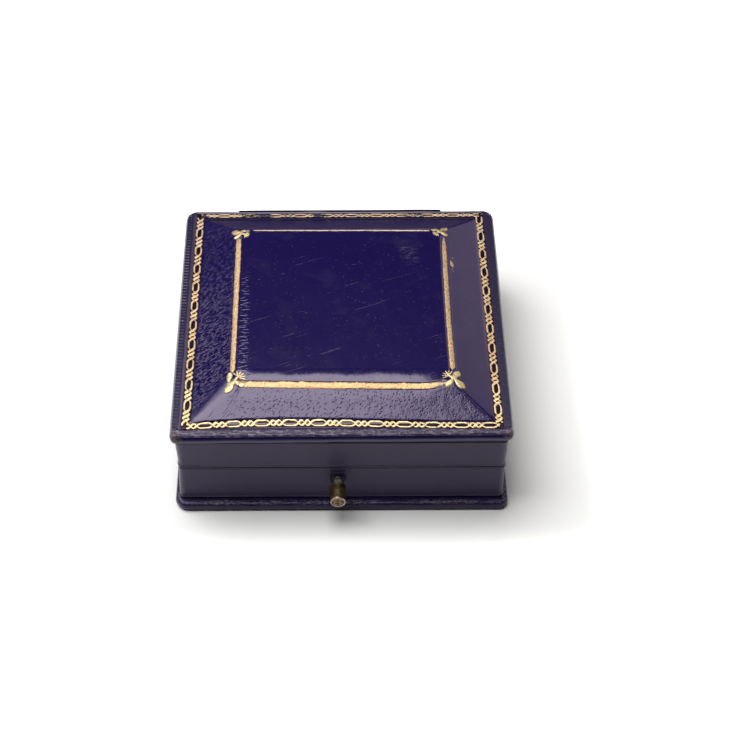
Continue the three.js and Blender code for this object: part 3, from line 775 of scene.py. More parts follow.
def turned(profile):
    """A turned piece about the button's axis: (radius, y) points from the tip inwards."""
    profile = np.asarray(profile, float)
    angle = np.linspace(0, 2 * math.pi, 64, endpoint=False)
    x = profile[:, :1] * np.cos(angle) + BUTTON_X
    z = profile[:, :1] * np.sin(angle) + BUTTON_Z
    y = np.broadcast_to(profile[:, 1:], x.shape)
    return flipped(capped(np.stack([x, y, z], -1)))


def button():
    """The push button: hollow face, raised rim, straight barrel, flaring neck, collar and stem."""
    face, inner_end = BUTTON_LOW[1], BUTTON_HIGH[1]
    dish = [(r, face + 0.2 + 0.05 * math.cos(r / 1.4 * math.pi))
            for r in np.linspace(0.02, 1.55, 11)]
    rim = [(1.75 + 0.14 * math.sin(a), face + 0.16 * (1 - math.cos(a)))
           for a in np.linspace(-1.4, math.pi / 2, 12)]
    barrel = [(1.93 + 0.17 * s, face + 0.3 + 4.3 * s) for s in np.linspace(0, 1, 14)]
    shoulder = face + 4.85
    lip = [(2.14, shoulder - 0.15), (2.14, shoulder - 0.05), (2.08, shoulder + 0.04)]
    neck = [(0.85 + (1 - t) ** 1.25, shoulder + 0.1 + 2.45 * t) for t in np.linspace(0, 1, 14)]
    stem = [(0.8, -39.2), (0.98, -38.2), (1.66, -38.2), (1.7, -38.14), (1.7, -37.81),
            (1.66, -37.75), (0.8, -37.75), (0.8, inner_end - 0.08), (0.72, inner_end)]
    return turned(dish + rim + barrel + lip + neck + stem)


def lining(name, upwards):
    """A lining strip in a node's place: a hoop with a rounded lip, above or, where -1, below."""
    low, high = span(name)
    start, end = (low[2], high[2]) if upwards > 0 else (-high[2], -low[2])
    thick, lip, rows = 0.8, 0.3, 14
    z = np.linspace(start, end - lip, rows)
    angle = np.linspace(0, math.pi, 9)
    by = np.concatenate([np.zeros(rows), thick / 2 * (1 - np.cos(angle)), np.full(rows, thick)])
    heights = upwards * np.concatenate([z, end - lip + lip * np.sin(angle), z[::-1]])
    boxes = drawn_in(flat_box(low, high), by)
    shape = hoop(outlines(boxes, np.maximum(0.7 - by / 2, 0.35), heights, 60, 6))
    return shape if upwards > 0 else flipped(shape)


def jewel_pad_shape():
    """The velvet pad before it is puffed: a rounded block with a round well."""
    side = drawn_in(flat_box(PAD_LOW, PAD_HIGH), 0.25)[0]
    top = PAD_HIGH[2] - 0.45
    by = np.array([0, 0, 0, 0.5, 1.6, 4.5])
    z = np.array([PAD_LOW[2], 5.0, top - 1.3, top - 0.35, top, top])
    block = outlines(drawn_in(side, by), [1, 1, 1, 1.4, 2.5, 5], z, 20, 6)
    radii = np.array([20.6, 19.5, 19.15, 19.1, 18.6, 15, 8])
    heights = np.array([top, top - 0.25, top - 1.0, 6.8, 5.75, 5.55, 5.5])
    circles = outlines(np.stack([-radii, radii, -radii, radii], 1), radii * 0.999, heights, 20, 6)
    angle = np.linspace(-math.pi / 2, 1.5 * math.pi, circles.shape[1], endpoint=False)
    circles[..., 0] = radii[:, None] * np.cos(angle)
    circles[..., 1] = radii[:, None] * np.sin(angle)
    return capped(np.vstack([block, circles]))


def lid_pad_shape():
    """The satin pad before it is puffed: a thin block with round edges, crowned downwards."""
    side = drawn_in(flat_box(LID_PAD_LOW, LID_PAD_HIGH), 0.3)[0]
    top = LID_PAD_HIGH[2]
    by = np.array([10, 3.0, 1.0, 0.2, 0, 0])
    z = np.array([top - 2.1, top - 2.0, top - 1.8, top - 1.3, top - 0.8, top])
    return capped(outlines(drawn_in(side, by), [8, 4, 2.4, 1.6, 1.4, 1.4], z, 20, 6))


def evaluated(made):
    """A new mesh of an object with its modifiers applied."""
    shown = made.evaluated_get(bpy.context.evaluated_depsgraph_get())
    return bpy.data.meshes.new_from_object(shown)


def puffed(made, voxel, pressure, cap, fixed):
    """Swells a pad by cloth simulation: voxel remesh, inner pressure, movement capped in mm.

    fixed says which points of the remeshed pad stay put; the result replaces the pad's mesh.
    """
    remesh = made.modifiers.new("voxels", "REMESH")
    remesh.mode = "VOXEL"
    remesh.voxel_size = voxel * MM
    finish = made.data.materials[0]
    mesh = evaluated(made)
    made.modifiers.clear()
    made.data = mesh
    start = places(mesh)
    held = made.vertex_groups.new(name="held")
    held.add(np.flatnonzero(fixed(start)).tolist(), 1.0, "REPLACE")
    cloth = made.modifiers.new("cloth", "CLOTH")
    cloth.settings.use_pressure = True
    cloth.settings.uniform_pressure_force = pressure
    cloth.settings.effector_weights.gravity = 0
    cloth.settings.vertex_group_mass = "held"
    cloth.settings.quality = 4
    scene = bpy.context.scene
    for number in range(1, 21):
        scene.frame_set(number)
    step = places(evaluated(made)) - start
    length = np.linalg.norm(step, axis=1, keepdims=True)
    step *= np.minimum(1, cap / np.maximum(length, 1e-6))
    made.modifiers.clear()
    made.vertex_groups.clear()
    scene.frame_set(1)
    made.data.vertices.foreach_set("co", ((start + step) * MM).astype(np.float32).ravel())
    made.data.materials.clear()
    made.data.materials.append(finish)
    made.data.polygons.foreach_set("use_smooth", [True] * len(made.data.polygons))
    made.data.update()
    smooth = made.modifiers.new("smooth", "SUBSURF")
    smooth.levels = smooth.render_levels = 1
    return made


# Materials

INDIGO = "10083a"
INDIGO_LIGHT = "160d43"
# Pale of wear; on the walls and board it also serves as a painted highlight
PALE_WEAR_AND_GLINT = "77707e"
# Pale of scuffs, which also paints the highlight along the lid's front edge
SCUFF_GLINT_TONE = "a199a9"
BROWN = "5f5248"
BRONZING = (0.96, 0.83, 1.0, 1.0)

# The numbers stored on the vertices of the leather
LID_REGIONS = ("pebble", "crinkle", "gather", "stroke", "ticks", "crease", "matt", "pale", "patch",
               "scuff", "grime", "wear", "tooled")
WALL_REGIONS = ("scuff", "wear", "shine", "edge")


def leather_lid():
    """Morocco goat skin, dyed indigo, pressed, polished and worn.

    The eye gets a deep blue-violet that mirrors the studio sharply on the flat top, pores on the
    front slope, crinkles on the left one, gathers beside the flat top, a duller margin with a row
    of blind ticks, pale scuffs along the front edge that also paint its highlight, painted shade
    in the tool impressions beside the gilt, and brown-grey corners. Violet dye bronzes a
    little, so the mirrored light is tinted.
    """
    made, add, place = material("leather_morocco_polished")
    where = {part: add("Attribute", take="Fac", attribute_name=part) for part in LID_REGIONS}
    blotch = add("TexNoise", {"Vector": place, "Scale": per(14), "Detail": 3.0})
    fine = add("TexNoise", {"Vector": place, "Scale": per(0.8), "Detail": 5.0, "Roughness": 0.65})
    # Pores about 0.7 mm apart in softly uneven grain
    sway = add("TexNoise", {"Vector": place, "Scale": per(1.2), "Detail": 2.0}, take="Color")
    sway = add("VectorMath", {0: sway, "Scale": 0.9 * MM}, operation="SCALE")
    bent = add("VectorMath", {0: place, 1: sway}, operation="ADD")
    cells = add("TexVoronoi", {"Vector": bent, "Scale": per(0.75)}, feature="F1")
    pores = add("ValToRGB", {"Fac": cells}, stops=[(0.12, 0.0), (0.38, 1.0)])
    lumps = add("TexNoise", {"Vector": place, "Scale": per(1.9), "Detail": 3.0, "Roughness": 0.6})
    # Crinkles under 2 mm long and 0.5 mm apart, rising to the right
    crinkle = streaks(add, place, (1.5, 0.48, 0.5), 24, [(0.50, 0.0), (0.66, 1.0)],
                      Detail=3.0, Distortion=0.3)
    # Gathers across the edge of the flat top, about 0.9 mm apart
    gathers = streaks(add, place, (1.9, 0.7, 0.7), 0, [(0.46, 0.0), (0.62, 1.0)], Detail=1.0)
    # Short strokes over the roll before the front fillet, about 0.5 mm apart
    strokes = streaks(add, place, (0.5, 2.6, 1.0), -6, Detail=2.0)
    # Blind ticks 1.1 mm apart
    ticks = add("TexWave", {"Vector": place, "Scale": per(1.1) * math.pi / 10, "Distortion": 1.2,
                            "Detail": 1.0, "Detail Scale": 3.0}, bands_direction="Y")
    ticks = add("ValToRGB", {"Fac": ticks}, stops=[(0.45, 0.0), (0.85, 1.0)])
    # Scratches lie long and thin; nicks are specks of 0.5 mm; creases run up from the front corner
    scratch = streaks(add, place, (16, 0.45, 3), 22, [(0.70, 0.0), (0.75, 1.0)], Detail=2.0)
    nick = streaks(add, place, (0.9, 0.5, 0.5), 10, [(0.67, 0.0), (0.75, 1.0)],
                   Detail=3.0, Roughness=0.7)
    crease = streaks(add, place, (9, 0.8, 2), 52, [(0.56, 0.0), (0.66, 1.0)], Detail=2.0)
    rub = streaks(add, place, (1.8, 0.6, 0.6), Detail=5.0, Roughness=0.7)
    # Faint clouds of rubbing, each broken up by the grain
    cloud = add("TexNoise", {"Vector": place, "Scale": per(9), "Detail": 4.0, "Roughness": 0.6})
    cloud = add("ValToRGB", {"Fac": cloud}, stops=[(0.56, 0.0), (0.72, 1.0)])
    # Dye is thinner on the margin, and the ribs of the grain are rubbed paler
    patch = add("ValToRGB", {"Fac": rub}, stops=[(0.49, 0.0), (0.60, 1.0)])
    pale = relief(add, [(ticks, where["ticks"], 0.30), (crinkle, where["crinkle"], 0.10),
                        (nick, where["matt"], 0.3), (nick, None, 0.24), (scratch, None, 0.05),
                        (cloud, fine, 0.07), (patch, where["patch"], 0.4),
                        (fine, where["matt"], 0.08), (where["pale"], None, 0.35)])
    # Pale scuffs along the front edge, which also paint its highlight there
    scuffed = add("ValToRGB", {"Fac": rub}, stops=[(0.51, 0.0), (0.58, 0.9)])
    scuffed = add("Math", {0: scuffed, 1: where["scuff"]}, operation="MULTIPLY")
    grime = add("Math", {0: where["grime"], 1: 0.6}, operation="MULTIPLY")
    worn = add("ValToRGB", {"Fac": fine}, stops=[(0.40, 0.1), (0.60, 1.0)])
    worn = add("Math", {0: worn, 1: where["wear"]}, operation="MULTIPLY", use_clamp=True)
    # Painted shade: the leather in and beside the tool impressions, and the line above the front
    # fillet, is darkened as the grooves' shade
    tool_groove_shade = add("Math", {0: where["tooled"], 1: 0.9}, operation="MULTIPLY")
    colour = layered(add, INDIGO, (blotch, INDIGO_LIGHT), (pale, PALE_WEAR_AND_GLINT), (scuffed, SCUFF_GLINT_TONE),
                     (grime, "221d2b"), (worn, BROWN), (tool_groove_shade, "140a18"))
    rough = relief(add, [(fine, None, 0.06), (where["matt"], None, 0.27), (worn, None, 0.20),
                         (where["pebble"], None, 0.05)])
    rough = add("Math", {0: rough, 1: 0.14}, operation="ADD", use_clamp=True)
    height = [(pores, where["pebble"], 0.05), (lumps, where["pebble"], 0.09),
              (crinkle, where["crinkle"], 0.055), (gathers, where["gather"], 0.045),
              (strokes, where["stroke"], 0.05), (ticks, where["ticks"], 0.12),
              (crease, where["crease"], 0.035), (fine, None, 0.010), (scratch, None, -0.008),
              (nick, None, 0.018), (lumps, where["wear"], 0.5), (rub, where["scuff"], 0.28)]
    surface(add, colour, rough, height, IOR=1.55, Specular_Tint=BRONZING)
    return made


def leather_walls(name, ior):
    """The same skin on the walls and boards, thinner and left duller, grey-violet with handling.

    The eye gets an even soft grey, sharper light on the rubbed corners, pale scuffs along the
    board that also paint its highlight there, pale lines along the beads by the walls' rims that
    are rubbing and a painted highlight, and bare brown leather at its corners. Grime on the board
    takes its gloss down, which a lower refraction gives.
    """
    made, add, place = material(name)
    where = {part: add("Attribute", take="Fac", attribute_name=part) for part in WALL_REGIONS}
    blotch = add("TexNoise", {"Vector": place, "Scale": per(9), "Detail": 3.0})
    fine = add("TexNoise", {"Vector": place, "Scale": per(0.6), "Detail": 5.0, "Roughness": 0.6})
    rub = streaks(add, place, (0.9, 0.35, 0.35), 0, [(0.45, 0.0), (0.56, 0.95)],
                  Detail=5.0, Roughness=0.7)
    # Scuffs come in stretches of a centimetre
    stretches = add("TexNoise", {"Vector": place, "Scale": per(11), "Detail": 1.0})
    stretches = add("ValToRGB", {"Fac": stretches}, stops=[(0.40, 0.25), (0.54, 1.0)])
    rub = add("Math", {0: rub, 1: stretches}, operation="MULTIPLY")
    # Pale scuffs along the board's nose, which also paint its highlight there
    worn = add("Math", {0: rub, 1: where["scuff"]}, operation="MULTIPLY")
    nick = streaks(add, place, (1.1, 0.5, 0.5), 10, [(0.72, 0.0), (0.78, 0.35)],
                   Detail=3.0, Roughness=0.7)
    pale = add("Math", {0: worn, 1: nick}, operation="MAXIMUM")
    # Pale lines along the beads by the rims: rubbing, and a painted highlight on the beads
    rubbed = add("Math", {0: where["edge"], 1: 0.22}, operation="MULTIPLY")
    pale = add("Math", {0: pale, 1: rubbed}, operation="MAXIMUM")
    bare = add("ValToRGB", {"Fac": fine}, stops=[(0.42, 0.1), (0.60, 1.0)])
    bare = add("Math", {0: bare, 1: where["wear"]}, operation="MULTIPLY", use_clamp=True)
    colour = layered(add, "1b1437", (blotch, "231b42"), (pale, PALE_WEAR_AND_GLINT), (bare, BROWN))
    rough = relief(add, [(fine, None, 0.10), (worn, None, 0.1), (bare, None, 0.15),
                         (where["shine"], None, -0.30)])
    rough = add("Math", {0: rough, 1: 0.47}, operation="ADD", use_clamp=True)
    surface(add, colour, rough, [(fine, None, 0.006), (rub, where["scuff"], 0.04)],
            IOR=ior, Specular_Tint=BRONZING)
    return made


def gold_leaf(name, front_lit_tone, side_lit_tone, back_lit_tone):
    """Gold leaf burned into leather with hot brass tools, with painted glints, and worn in places.

    The size under it dulls its mirror, so it is part metal, part soft. It gets one tone each for
    the front, the sides and the back, painted lighter or darker after how each meets the light,
    brown at the broken edges, and much of it lost along the back, most of all to the left.
    """
    made, add, place = material(name)
    patch = add("TexNoise", {"Vector": place, "Scale": per(4.5), "Detail": 3.0})
    crumb = add("TexNoise", {"Vector": place, "Scale": per(0.45), "Detail": 5.0, "Roughness": 0.7})
    along = add("SeparateXYZ", {0: place}, take="Y")
    across = add("SeparateXYZ", {0: place}, take="X")
    # Painted light: the front, the sides and the back each get a tone after how they meet the light
    front = add("MapRange", {0: along, 1: -0.022, 2: -0.027})
    far = add("MapRange", {0: along, 1: 0.0256, 2: 0.0274})
    leftwards = add("MapRange", {0: across, 1: 0.006, 2: 0.001, 3: -0.03, 4: -0.12})
    back = add("MapRange", {0: along, 1: 0.0378, 2: 0.0381})
    # Painted glints: pale specks standing for the light the leaf mirrors
    bright = add("ValToRGB", {"Fac": crumb}, stops=[(0.54, 0.0), (0.68, 0.65)])
    tan = add("ValToRGB", {"Fac": crumb}, stops=[(0.37, 0.95), (0.48, 0.0)])
    lost = relief(add, [(crumb, None, 0.75), (patch, None, 0.75), (back, leftwards, 1.0)])
    lost = add("MapRange", {0: lost, 1: 0.60, 2: 0.565})
    colour = layered(add, side_lit_tone, (front, front_lit_tone), (far, back_lit_tone), (bright, "f6e8c6"),
                     (tan, "86603a"), (lost, "241a38"))
    metal = add("Math", {0: lost, 1: -0.55, 2: 0.55}, operation="MULTIPLY_ADD", use_clamp=True)
    rough = add("Math", {0: crumb, 1: 0.3, 2: 0.28}, operation="MULTIPLY_ADD")
    surface(add, colour, rough, [(crumb, None, 0.08)], Metallic=metal)
    return made


def aged_brass(name, dark, light, button=False):
    """Brass left to tarnish: olive brown in the hollows, paler where fingers rub it.

    On the button the face is rubbed to a mottled tan inside a bright rim, and the neck is a
    duller, less metallic grey.
    """
    made, add, place = material(name)
    cloud = add("TexNoise", {"Vector": place, "Scale": per(1.4), "Detail": 5.0, "Roughness": 0.65})
    pit = add("TexNoise", {"Vector": place, "Scale": per(0.3), "Detail": 4.0, "Roughness": 0.7})
    rubbed = add("ValToRGB", {"Fac": cloud}, stops=[(0.35, 0.0), (0.68, 1.0)])
    layers = [(rubbed, light)]
    metal = 0.85
    if button:
        mottle = add("TexNoise", {"Vector": place, "Scale": per(0.7), "Detail": 4.0,
                                  "Roughness": 0.7})
        mottle = add("ValToRGB", {"Fac": mottle}, stops=[(0.42, 0.0), (0.58, 1.0)])
        for part, low, high in (("face", "2a2016", "8e765c"), ("rim", "a8937c", "e0d0be"),
                                ("neck", "5b5a50", "aaa99d")):
            share = add("Attribute", take="Fac", attribute_name=part)
            layers.append((share, layered(add, low, (mottle, high))))
        metal = add("Math", {0: share, 1: -0.6, 2: metal}, operation="MULTIPLY_ADD")
    rough = add("Math", {0: pit, 1: 0.35, 2: 0.26}, operation="MULTIPLY_ADD")
    surface(add, layered(add, dark, *layers), rough, [(pit, None, 0.02)], Metallic=metal)
    return made


def drawn_steel():
    """Bright drawn steel with fine lengthwise lines, drawn at 0.1 mm so that they show."""
    made, add, place = material("steel_drawn")
    lines = streaks(add, place, (6, 0.1, 0.1), Detail=3.0)
    rough = add("Math", {0: lines, 1: 0.2, 2: 0.22}, operation="MULTIPLY_ADD")
    surface(add, layered(add, "7d7f83", (lines, "a9abaf")), rough, [(lines, None, 0.006)],
            Metallic=1.0)
    return made


def planed_beech():
    """Planed beech: warm, with short darker flecks along the grain."""
    made, add, place = material("beech_planed")
    fibres = streaks(add, place, (9, 0.7, 0.7), Detail=5.0)
    fleck = streaks(add, place, (1.6, 0.2, 0.2), 0, [(0.60, 0.0), (0.70, 0.5)], Detail=2.0)
    surface(add, layered(add, "a97f4f", (fibres, "cda474"), (fleck, "7c5732")), 0.62,
            [(fibres, None, 0.02)])
    return made


def raw_millboard():
    """Rolled millboard: grey-brown fibres and specks."""
    made, add, place = material("millboard_rolled")
    fibre = add("TexNoise", {"Vector": place, "Scale": per(0.6), "Detail": 6.0, "Roughness": 0.75})
    surface(add, layered(add, "6f614d", (fibre, "97886d")), 0.92, [(fibre, None, 0.03)])
    return made


def cut_velvet():
    """Cut silk velvet: deep blue pile that brightens at grazing angles, brushed into patches."""
    made, add, place = material("velvet_cut_pile")
    brushed = add("TexNoise", {"Vector": place, "Scale": per(7), "Detail": 3.0})
    pile = add("TexNoise", {"Vector": place, "Scale": per(0.3), "Detail": 4.0, "Roughness": 0.75})
    lay = relief(add, [(brushed, None, 0.6), (pile, None, 0.5)])
    surface(add, layered(add, "0d0a2a", (lay, "2f2a6e")), 0.95, [(pile, None, 0.10)],
            Sheen_Weight=0.7, Sheen_Roughness=0.4, Sheen_Tint=linear("8f86d8"),
            Specular_IOR_Level=0.15)
    return made


def silk_satin():
    """Ivory silk satin: a close smooth face with faint cross threads, yellowed with age.

    Real threads lie about 0.05 mm apart; they are drawn 0.25 mm apart so that they show.
    """
    made, add, place = material("satin_silk_ivory")
    age = add("TexNoise", {"Vector": place, "Scale": per(18), "Detail": 3.0})
    threads = {"Vector": place, "Scale": per(0.25) * math.pi / 10, "Distortion": 0.4, "Detail": 1.0}
    warp, weft = [add("TexWave", threads, bands_direction=way) for way in ("X", "Y")]
    surface(add, layered(add, "d9cba9", (age, "efe6cf")), 0.34,
            [(warp, None, 0.010), (weft, None, 0.004)], Anisotropic=0.5, Sheen_Weight=0.25, IOR=1.5)
    return made


def glued_cloth():
    """Black glazed cloth glued under the board, with an even plain weave 0.4 mm wide."""
    made, add, place = material("book_cloth_glued")
    weave = add("TexChecker", {"Vector": place, "Scale": per(0.4), "Color1": (1, 1, 1, 1),
                               "Color2": (0, 0, 0, 1)}, take="Fac")
    dust = add("TexNoise", {"Vector": place, "Scale": per(5), "Detail": 4.0})
    surface(add, layered(add, "17151c", (dust, "29262f")), 0.85, [(weave, None, 0.02)])
    return made


LEATHER_LID = leather_lid()
LEATHER_WALLS = leather_walls("leather_morocco_smooth", 1.55)
LEATHER_BOARD = leather_walls("leather_morocco_grimy", 1.42)
GOLD = gold_leaf("gold_leaf_burnished", "bd9c6c", "c6a57a", "efd8b8")
GOLD_ROLL = gold_leaf("gold_leaf_tooled", "f2d79e", "d8b588", "d2b592")
GOLD_STAMP = gold_leaf("gold_leaf_stamped", "d8c492", "d8c492", "b7a179")
BRASS_BUTTON = aged_brass("brass_turned_aged", "3a3323", "7a6846", button=True)
BRASS = aged_brass("brass_rolled_aged", "6e5831", "b2935a")
STEEL = drawn_steel()
BEECH = planed_beech()
MILLBOARD = raw_millboard()
VELVET = cut_velvet()
SATIN = silk_satin()
CLOTH = glued_cloth()


# The lid

cover = piece("lid_cover", lid_cover(), LEATHER_LID, "lid", ["lid_top_leather"])


def mark_lid(made):
    """Stores where the lid's leather is pored, crinkled, gathered, ticked, matt, pale or worn."""
    x, y, z = places(made.data).T
    # The four slopes, the two facets, the margin with its front edge, and the flat top
    t = bevel_place(x, y)
    sides = side_places(x, y)
    on_bevel = ease(t, -0.05, 0.08) * (1 - ease(t, 0.95, 1.2))
    sharp = np.array([30, 6, 6, 6])[:, None]
    on_right, on_left, _, on_front = np.clip(1 - (sides - sides.min(0)) * sharp, 0, 1) * on_bevel
    in_corner = np.clip((sides.min(0) - corner_place(x, y)) * 40, 0, 1)
    margin = 1 - ease(t, -0.06, 0.02)
    flat_top = ease(t, 1.05, 1.2)
    level = ease(z, MARGIN - 0.5, MARGIN - 0.12)
    # The front edge's band, where pale scuffs also paint the highlight
    front_edge = (1 - ease(y - LID_LOW[1], 1.6, 2.4)) * level
    corner = np.sqrt(np.clip(abs(x) - 38.5, 0, None) * np.clip(abs(y) - 37.5, 0, None))
    on_facet = np.clip(1 - (facet_place(x, y) - sides.min(0)) * 14, 0, 1)
    smooth_mitre = np.exp(-((x + 31) / 5) ** 2)
    # The row of ticks along the left margin, which fades to the back, and the strip beside it
    tick_row = (1 - ease(abs(x + 41.35), 0.55, 0.75)) * (1 - 0.85 * ease(y, -5, 32))
    left_margin = ease(-x, 38.8, 39.4)
    back_margin = ease(y, 39.0, 39.5)
    beside_ticks = (1 - ease(abs(x + 39.95 + 0.05 * np.sin(y / 1.7)), 0.15, 0.45)) * (abs(y) < 39.5)
    # Painted shade in the tool impressions beside the gilt, the bare rest, a rubbed patch and a
    # painted shade line above the front fillet
    tooled = 1 - ease(tool_gap(chain_line, 39.6, x, y), 0.95, 1.15)
    bare_margin = margin * level * (1 - tooled)
    rubbed = np.exp(-((x - 18.3) / 1.8) ** 2 - ((y - 18.5 + 1.2 * (x - 18.3)) / 3.0) ** 2)
    fillet_shade_line = 1 - ease(abs(y - fillet_line("front", x) - 1.0), 0.1, 0.35)
    store(made,
          pebble=on_front * (0.75 + 0.1 * ease(x, -5, 20)) * (1 - 0.8 * smooth_mitre)
          * (1 - on_facet) * (1 - in_corner),
          crinkle=on_left * (0.45 + 0.55 * ease(-y, -25, 15)) * (1 - on_facet),
          gather=(1 - ease(abs(x + 25.0), 0.8, 1.9)) * flat_top * (1 - ease(y, 2, 20)),
          stroke=(1 - ease(abs(y + 25.2), 1.2, 2.4)) * flat_top,
          ticks=margin * tick_row,
          crease=on_front * smooth_mitre,
          matt=0.85 * on_right * (1 - in_corner)
          + bare_margin * (0.36 * (1 - 0.45 * left_margin) * (1 - 0.8 * back_margin)
                           * (1 - 0.3 * front_edge) + 0.3 * beside_ticks),
          pale=bare_margin * (0.6 * beside_ticks + 0.12 * (1 - left_margin) * (1 - back_margin)),
          patch=rubbed,
          scuff=front_edge,
          grime=margin * level * (1 - 0.4 * left_margin * ease(-y, -20, 20)),
          wear=ease(corner, 1.7, 3.1),
          tooled=np.maximum(tooled, fillet_shade_line * (abs(x) < 25.5)))


mark_lid(cover)
piece("gilt_chain_border", chain_border(), GOLD_ROLL, "lid")
piece("gilt_fillets", fillets(), GOLD, "lid")
piece("gilt_corner_flowers", fleurons(), GOLD_STAMP, "lid")
piece("gilt_flecks", flecks_of_gold(), GOLD, "lid")


def mark_walls(made):
    """Stores the shine of the walls' corners and the pale lines along the beads by their rims,
    rubbing with a painted highlight.
    """
    x, y, z = places(made.data).T
    half = BASE_WALL_HIGH[0]
    corner = np.hypot(abs(x) - half, np.where(y < 0, y - BASE_WALL_LOW[1], y - BASE_WALL_HIGH[1]))
    rim = np.minimum(abs(z - z.min()), abs(z - z.max()))
    store(made, shine=np.maximum(1 - ease(corner, 0.8, 1.5), 0.5 * (1 - ease(rim, 0.5, 0.8))),
          edge=np.exp(-((rim - 0.55) / 0.2) ** 2) * (0.7 + 0.3 * np.sin(x / 3.7 + z)),
          scuff=np.zeros_like(x), wear=0.3 * (1 - ease(corner, 0.4, 0.9)) * (z > HINGE_Z))


shape = wall_cover(LID_WALL_LOW, LID_WALL_HIGH, 100, flare_high=0.3, tuck=0.24)
mark_walls(piece("lid_wall_cover", shape, LEATHER_WALLS, "lid", ["lid_wall_leather"]))
shape = wall_cover(BASE_WALL_LOW, BASE_WALL_HIGH, 260, flare_low=0.22, press=pressed)
mark_walls(piece("base_wall_cover", shape, LEATHER_WALLS, "base", ["base_wall_leather"]))

board = piece("base_board_cover", board_cover(), LEATHER_BOARD, "base",
              ["base_board_leather"])


def mark_board(made):
    """Stores the pale scuffs along the base board's upper edge, which also paint its highlight, its
    shine and its bare corners.
    """
    x, y, z = places(made.data).T
    edge = np.minimum.reduce([x - BOARD_LOW[0], BOARD_HIGH[0] - x, y - BOARD_LOW[1]])
    # The band along the nose, where pale scuffs also paint the highlight
    lip = ease(z, 2.1, 2.4) * (1 - ease(abs(edge - 0.9), 0.35, 0.8))
    corner = np.sqrt(np.clip(abs(x) - 39, 0, None) * np.clip(abs(y) - 39.5, 0, None))
    store(made, scuff=lip * (0.6 + 0.4 * (x < 5)), shine=np.full_like(x, 0.9),
          wear=0.3 * ease(corner, 2.0, 3.2))


mark_board(board)

for name, rim, way, body in (("base_rim_leather", BASE_WALL_HIGH[2], 1, "base"),
                             ("lid_rim_leather", LID_WALL_LOW[2], -1, "lid")):
    turned_in = piece(name, rim_leather(rim, way), LEATHER_WALLS, body)
    store(turned_in, scuff=np.zeros(len(turned_in.data.vertices)))

strip = piece("spine_strip", spine(), LEATHER_WALLS, None, ["spine_base", "spine_lid"])
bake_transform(strip)

# The button
knob = piece("turned_push_button", button(), BRASS_BUTTON, "push_button", ["push_button"])
knob_points = places(knob.data)
face_radius = np.hypot(knob_points[:, 0] - BUTTON_X, knob_points[:, 2] - BUTTON_Z)
from_face = knob_points[:, 1] - BUTTON_LOW[1]
on_front = 1 - ease(from_face, 0.25, 0.4)
on_rim = ease(face_radius, 1.58, 1.66) * (1 - ease(face_radius, 1.86, 1.9))
store(knob, face=on_front, rim=on_front * on_rim, neck=ease(from_face, 4.86, 4.95))

# The pads and linings
pad = piece("velvet_jewel_pad", jewel_pad_shape(), VELVET, "base", ["jewel_pad"])
puffed(pad, 1.0, 3.0, 0.35, lambda p: p[:, 2] < PAD_LOW[2] + 1.5)
lid_pad = piece("satin_lid_pad", lid_pad_shape(), SATIN, "lid", ["lid_pad"])
puffed(lid_pad, 1.0, 4.0, 1.1, lambda p: p[:, 2] > LID_PAD_HIGH[2] - 0.9)

piece("velvet_base_lining", lining("base_lining", 1), VELVET, "base", ["base_lining"])
piece("satin_lid_lining", lining("lid_lining", -1), SATIN, "lid", ["lid_lining"])


# Finishes of the pieces that keep their own solids

KEPT = {
    "base_board": MILLBOARD, "lid_board": MILLBOARD, "base_sole": CLOTH, "catch_leaf": STEEL,
    "hinge_pin": STEEL, "hinge_base": BRASS, "hinge_lid": BRASS, "button_bush": BRASS_BUTTON,
    "catch_foot": BRASS, "catch_screw": BRASS, "hook_screw": BRASS, "lid_hook": BRASS,
    "base_wall": BEECH, "lid_wall": BEECH, "lid_raised_panel": BEECH,
}
for name, kept in frame["nodes"].items():
    for start, finish in KEPT.items():
        if name.startswith(start):
            kept.data.materials.clear()
            kept.data.materials.append(finish)
            break


# Floor, light and camera

def soft_box(name, place, target, size, radiance, colour=(1.0, 1.0, 1.0), turn=0.0):
    """A rectangular lamp of even radiance: its power is radiance times pi times its area."""
    lamp = bpy.data.lights.new(name, "AREA")
    lamp.shape = "RECTANGLE"
    lamp.size, lamp.size_y = size
    lamp.color = colour
    lamp.energy = radiance * math.pi * size[0] * size[1]
    made = bpy.data.objects.new(name, lamp)
    bpy.context.collection.objects.link(made)
    made.location = place
    aim = (Vector(target) - Vector(place)).to_track_quat("-Z", "Y")
    made.rotation_euler = (aim @ Quaternion((0, 0, 1), math.radians(turn))).to_euler()


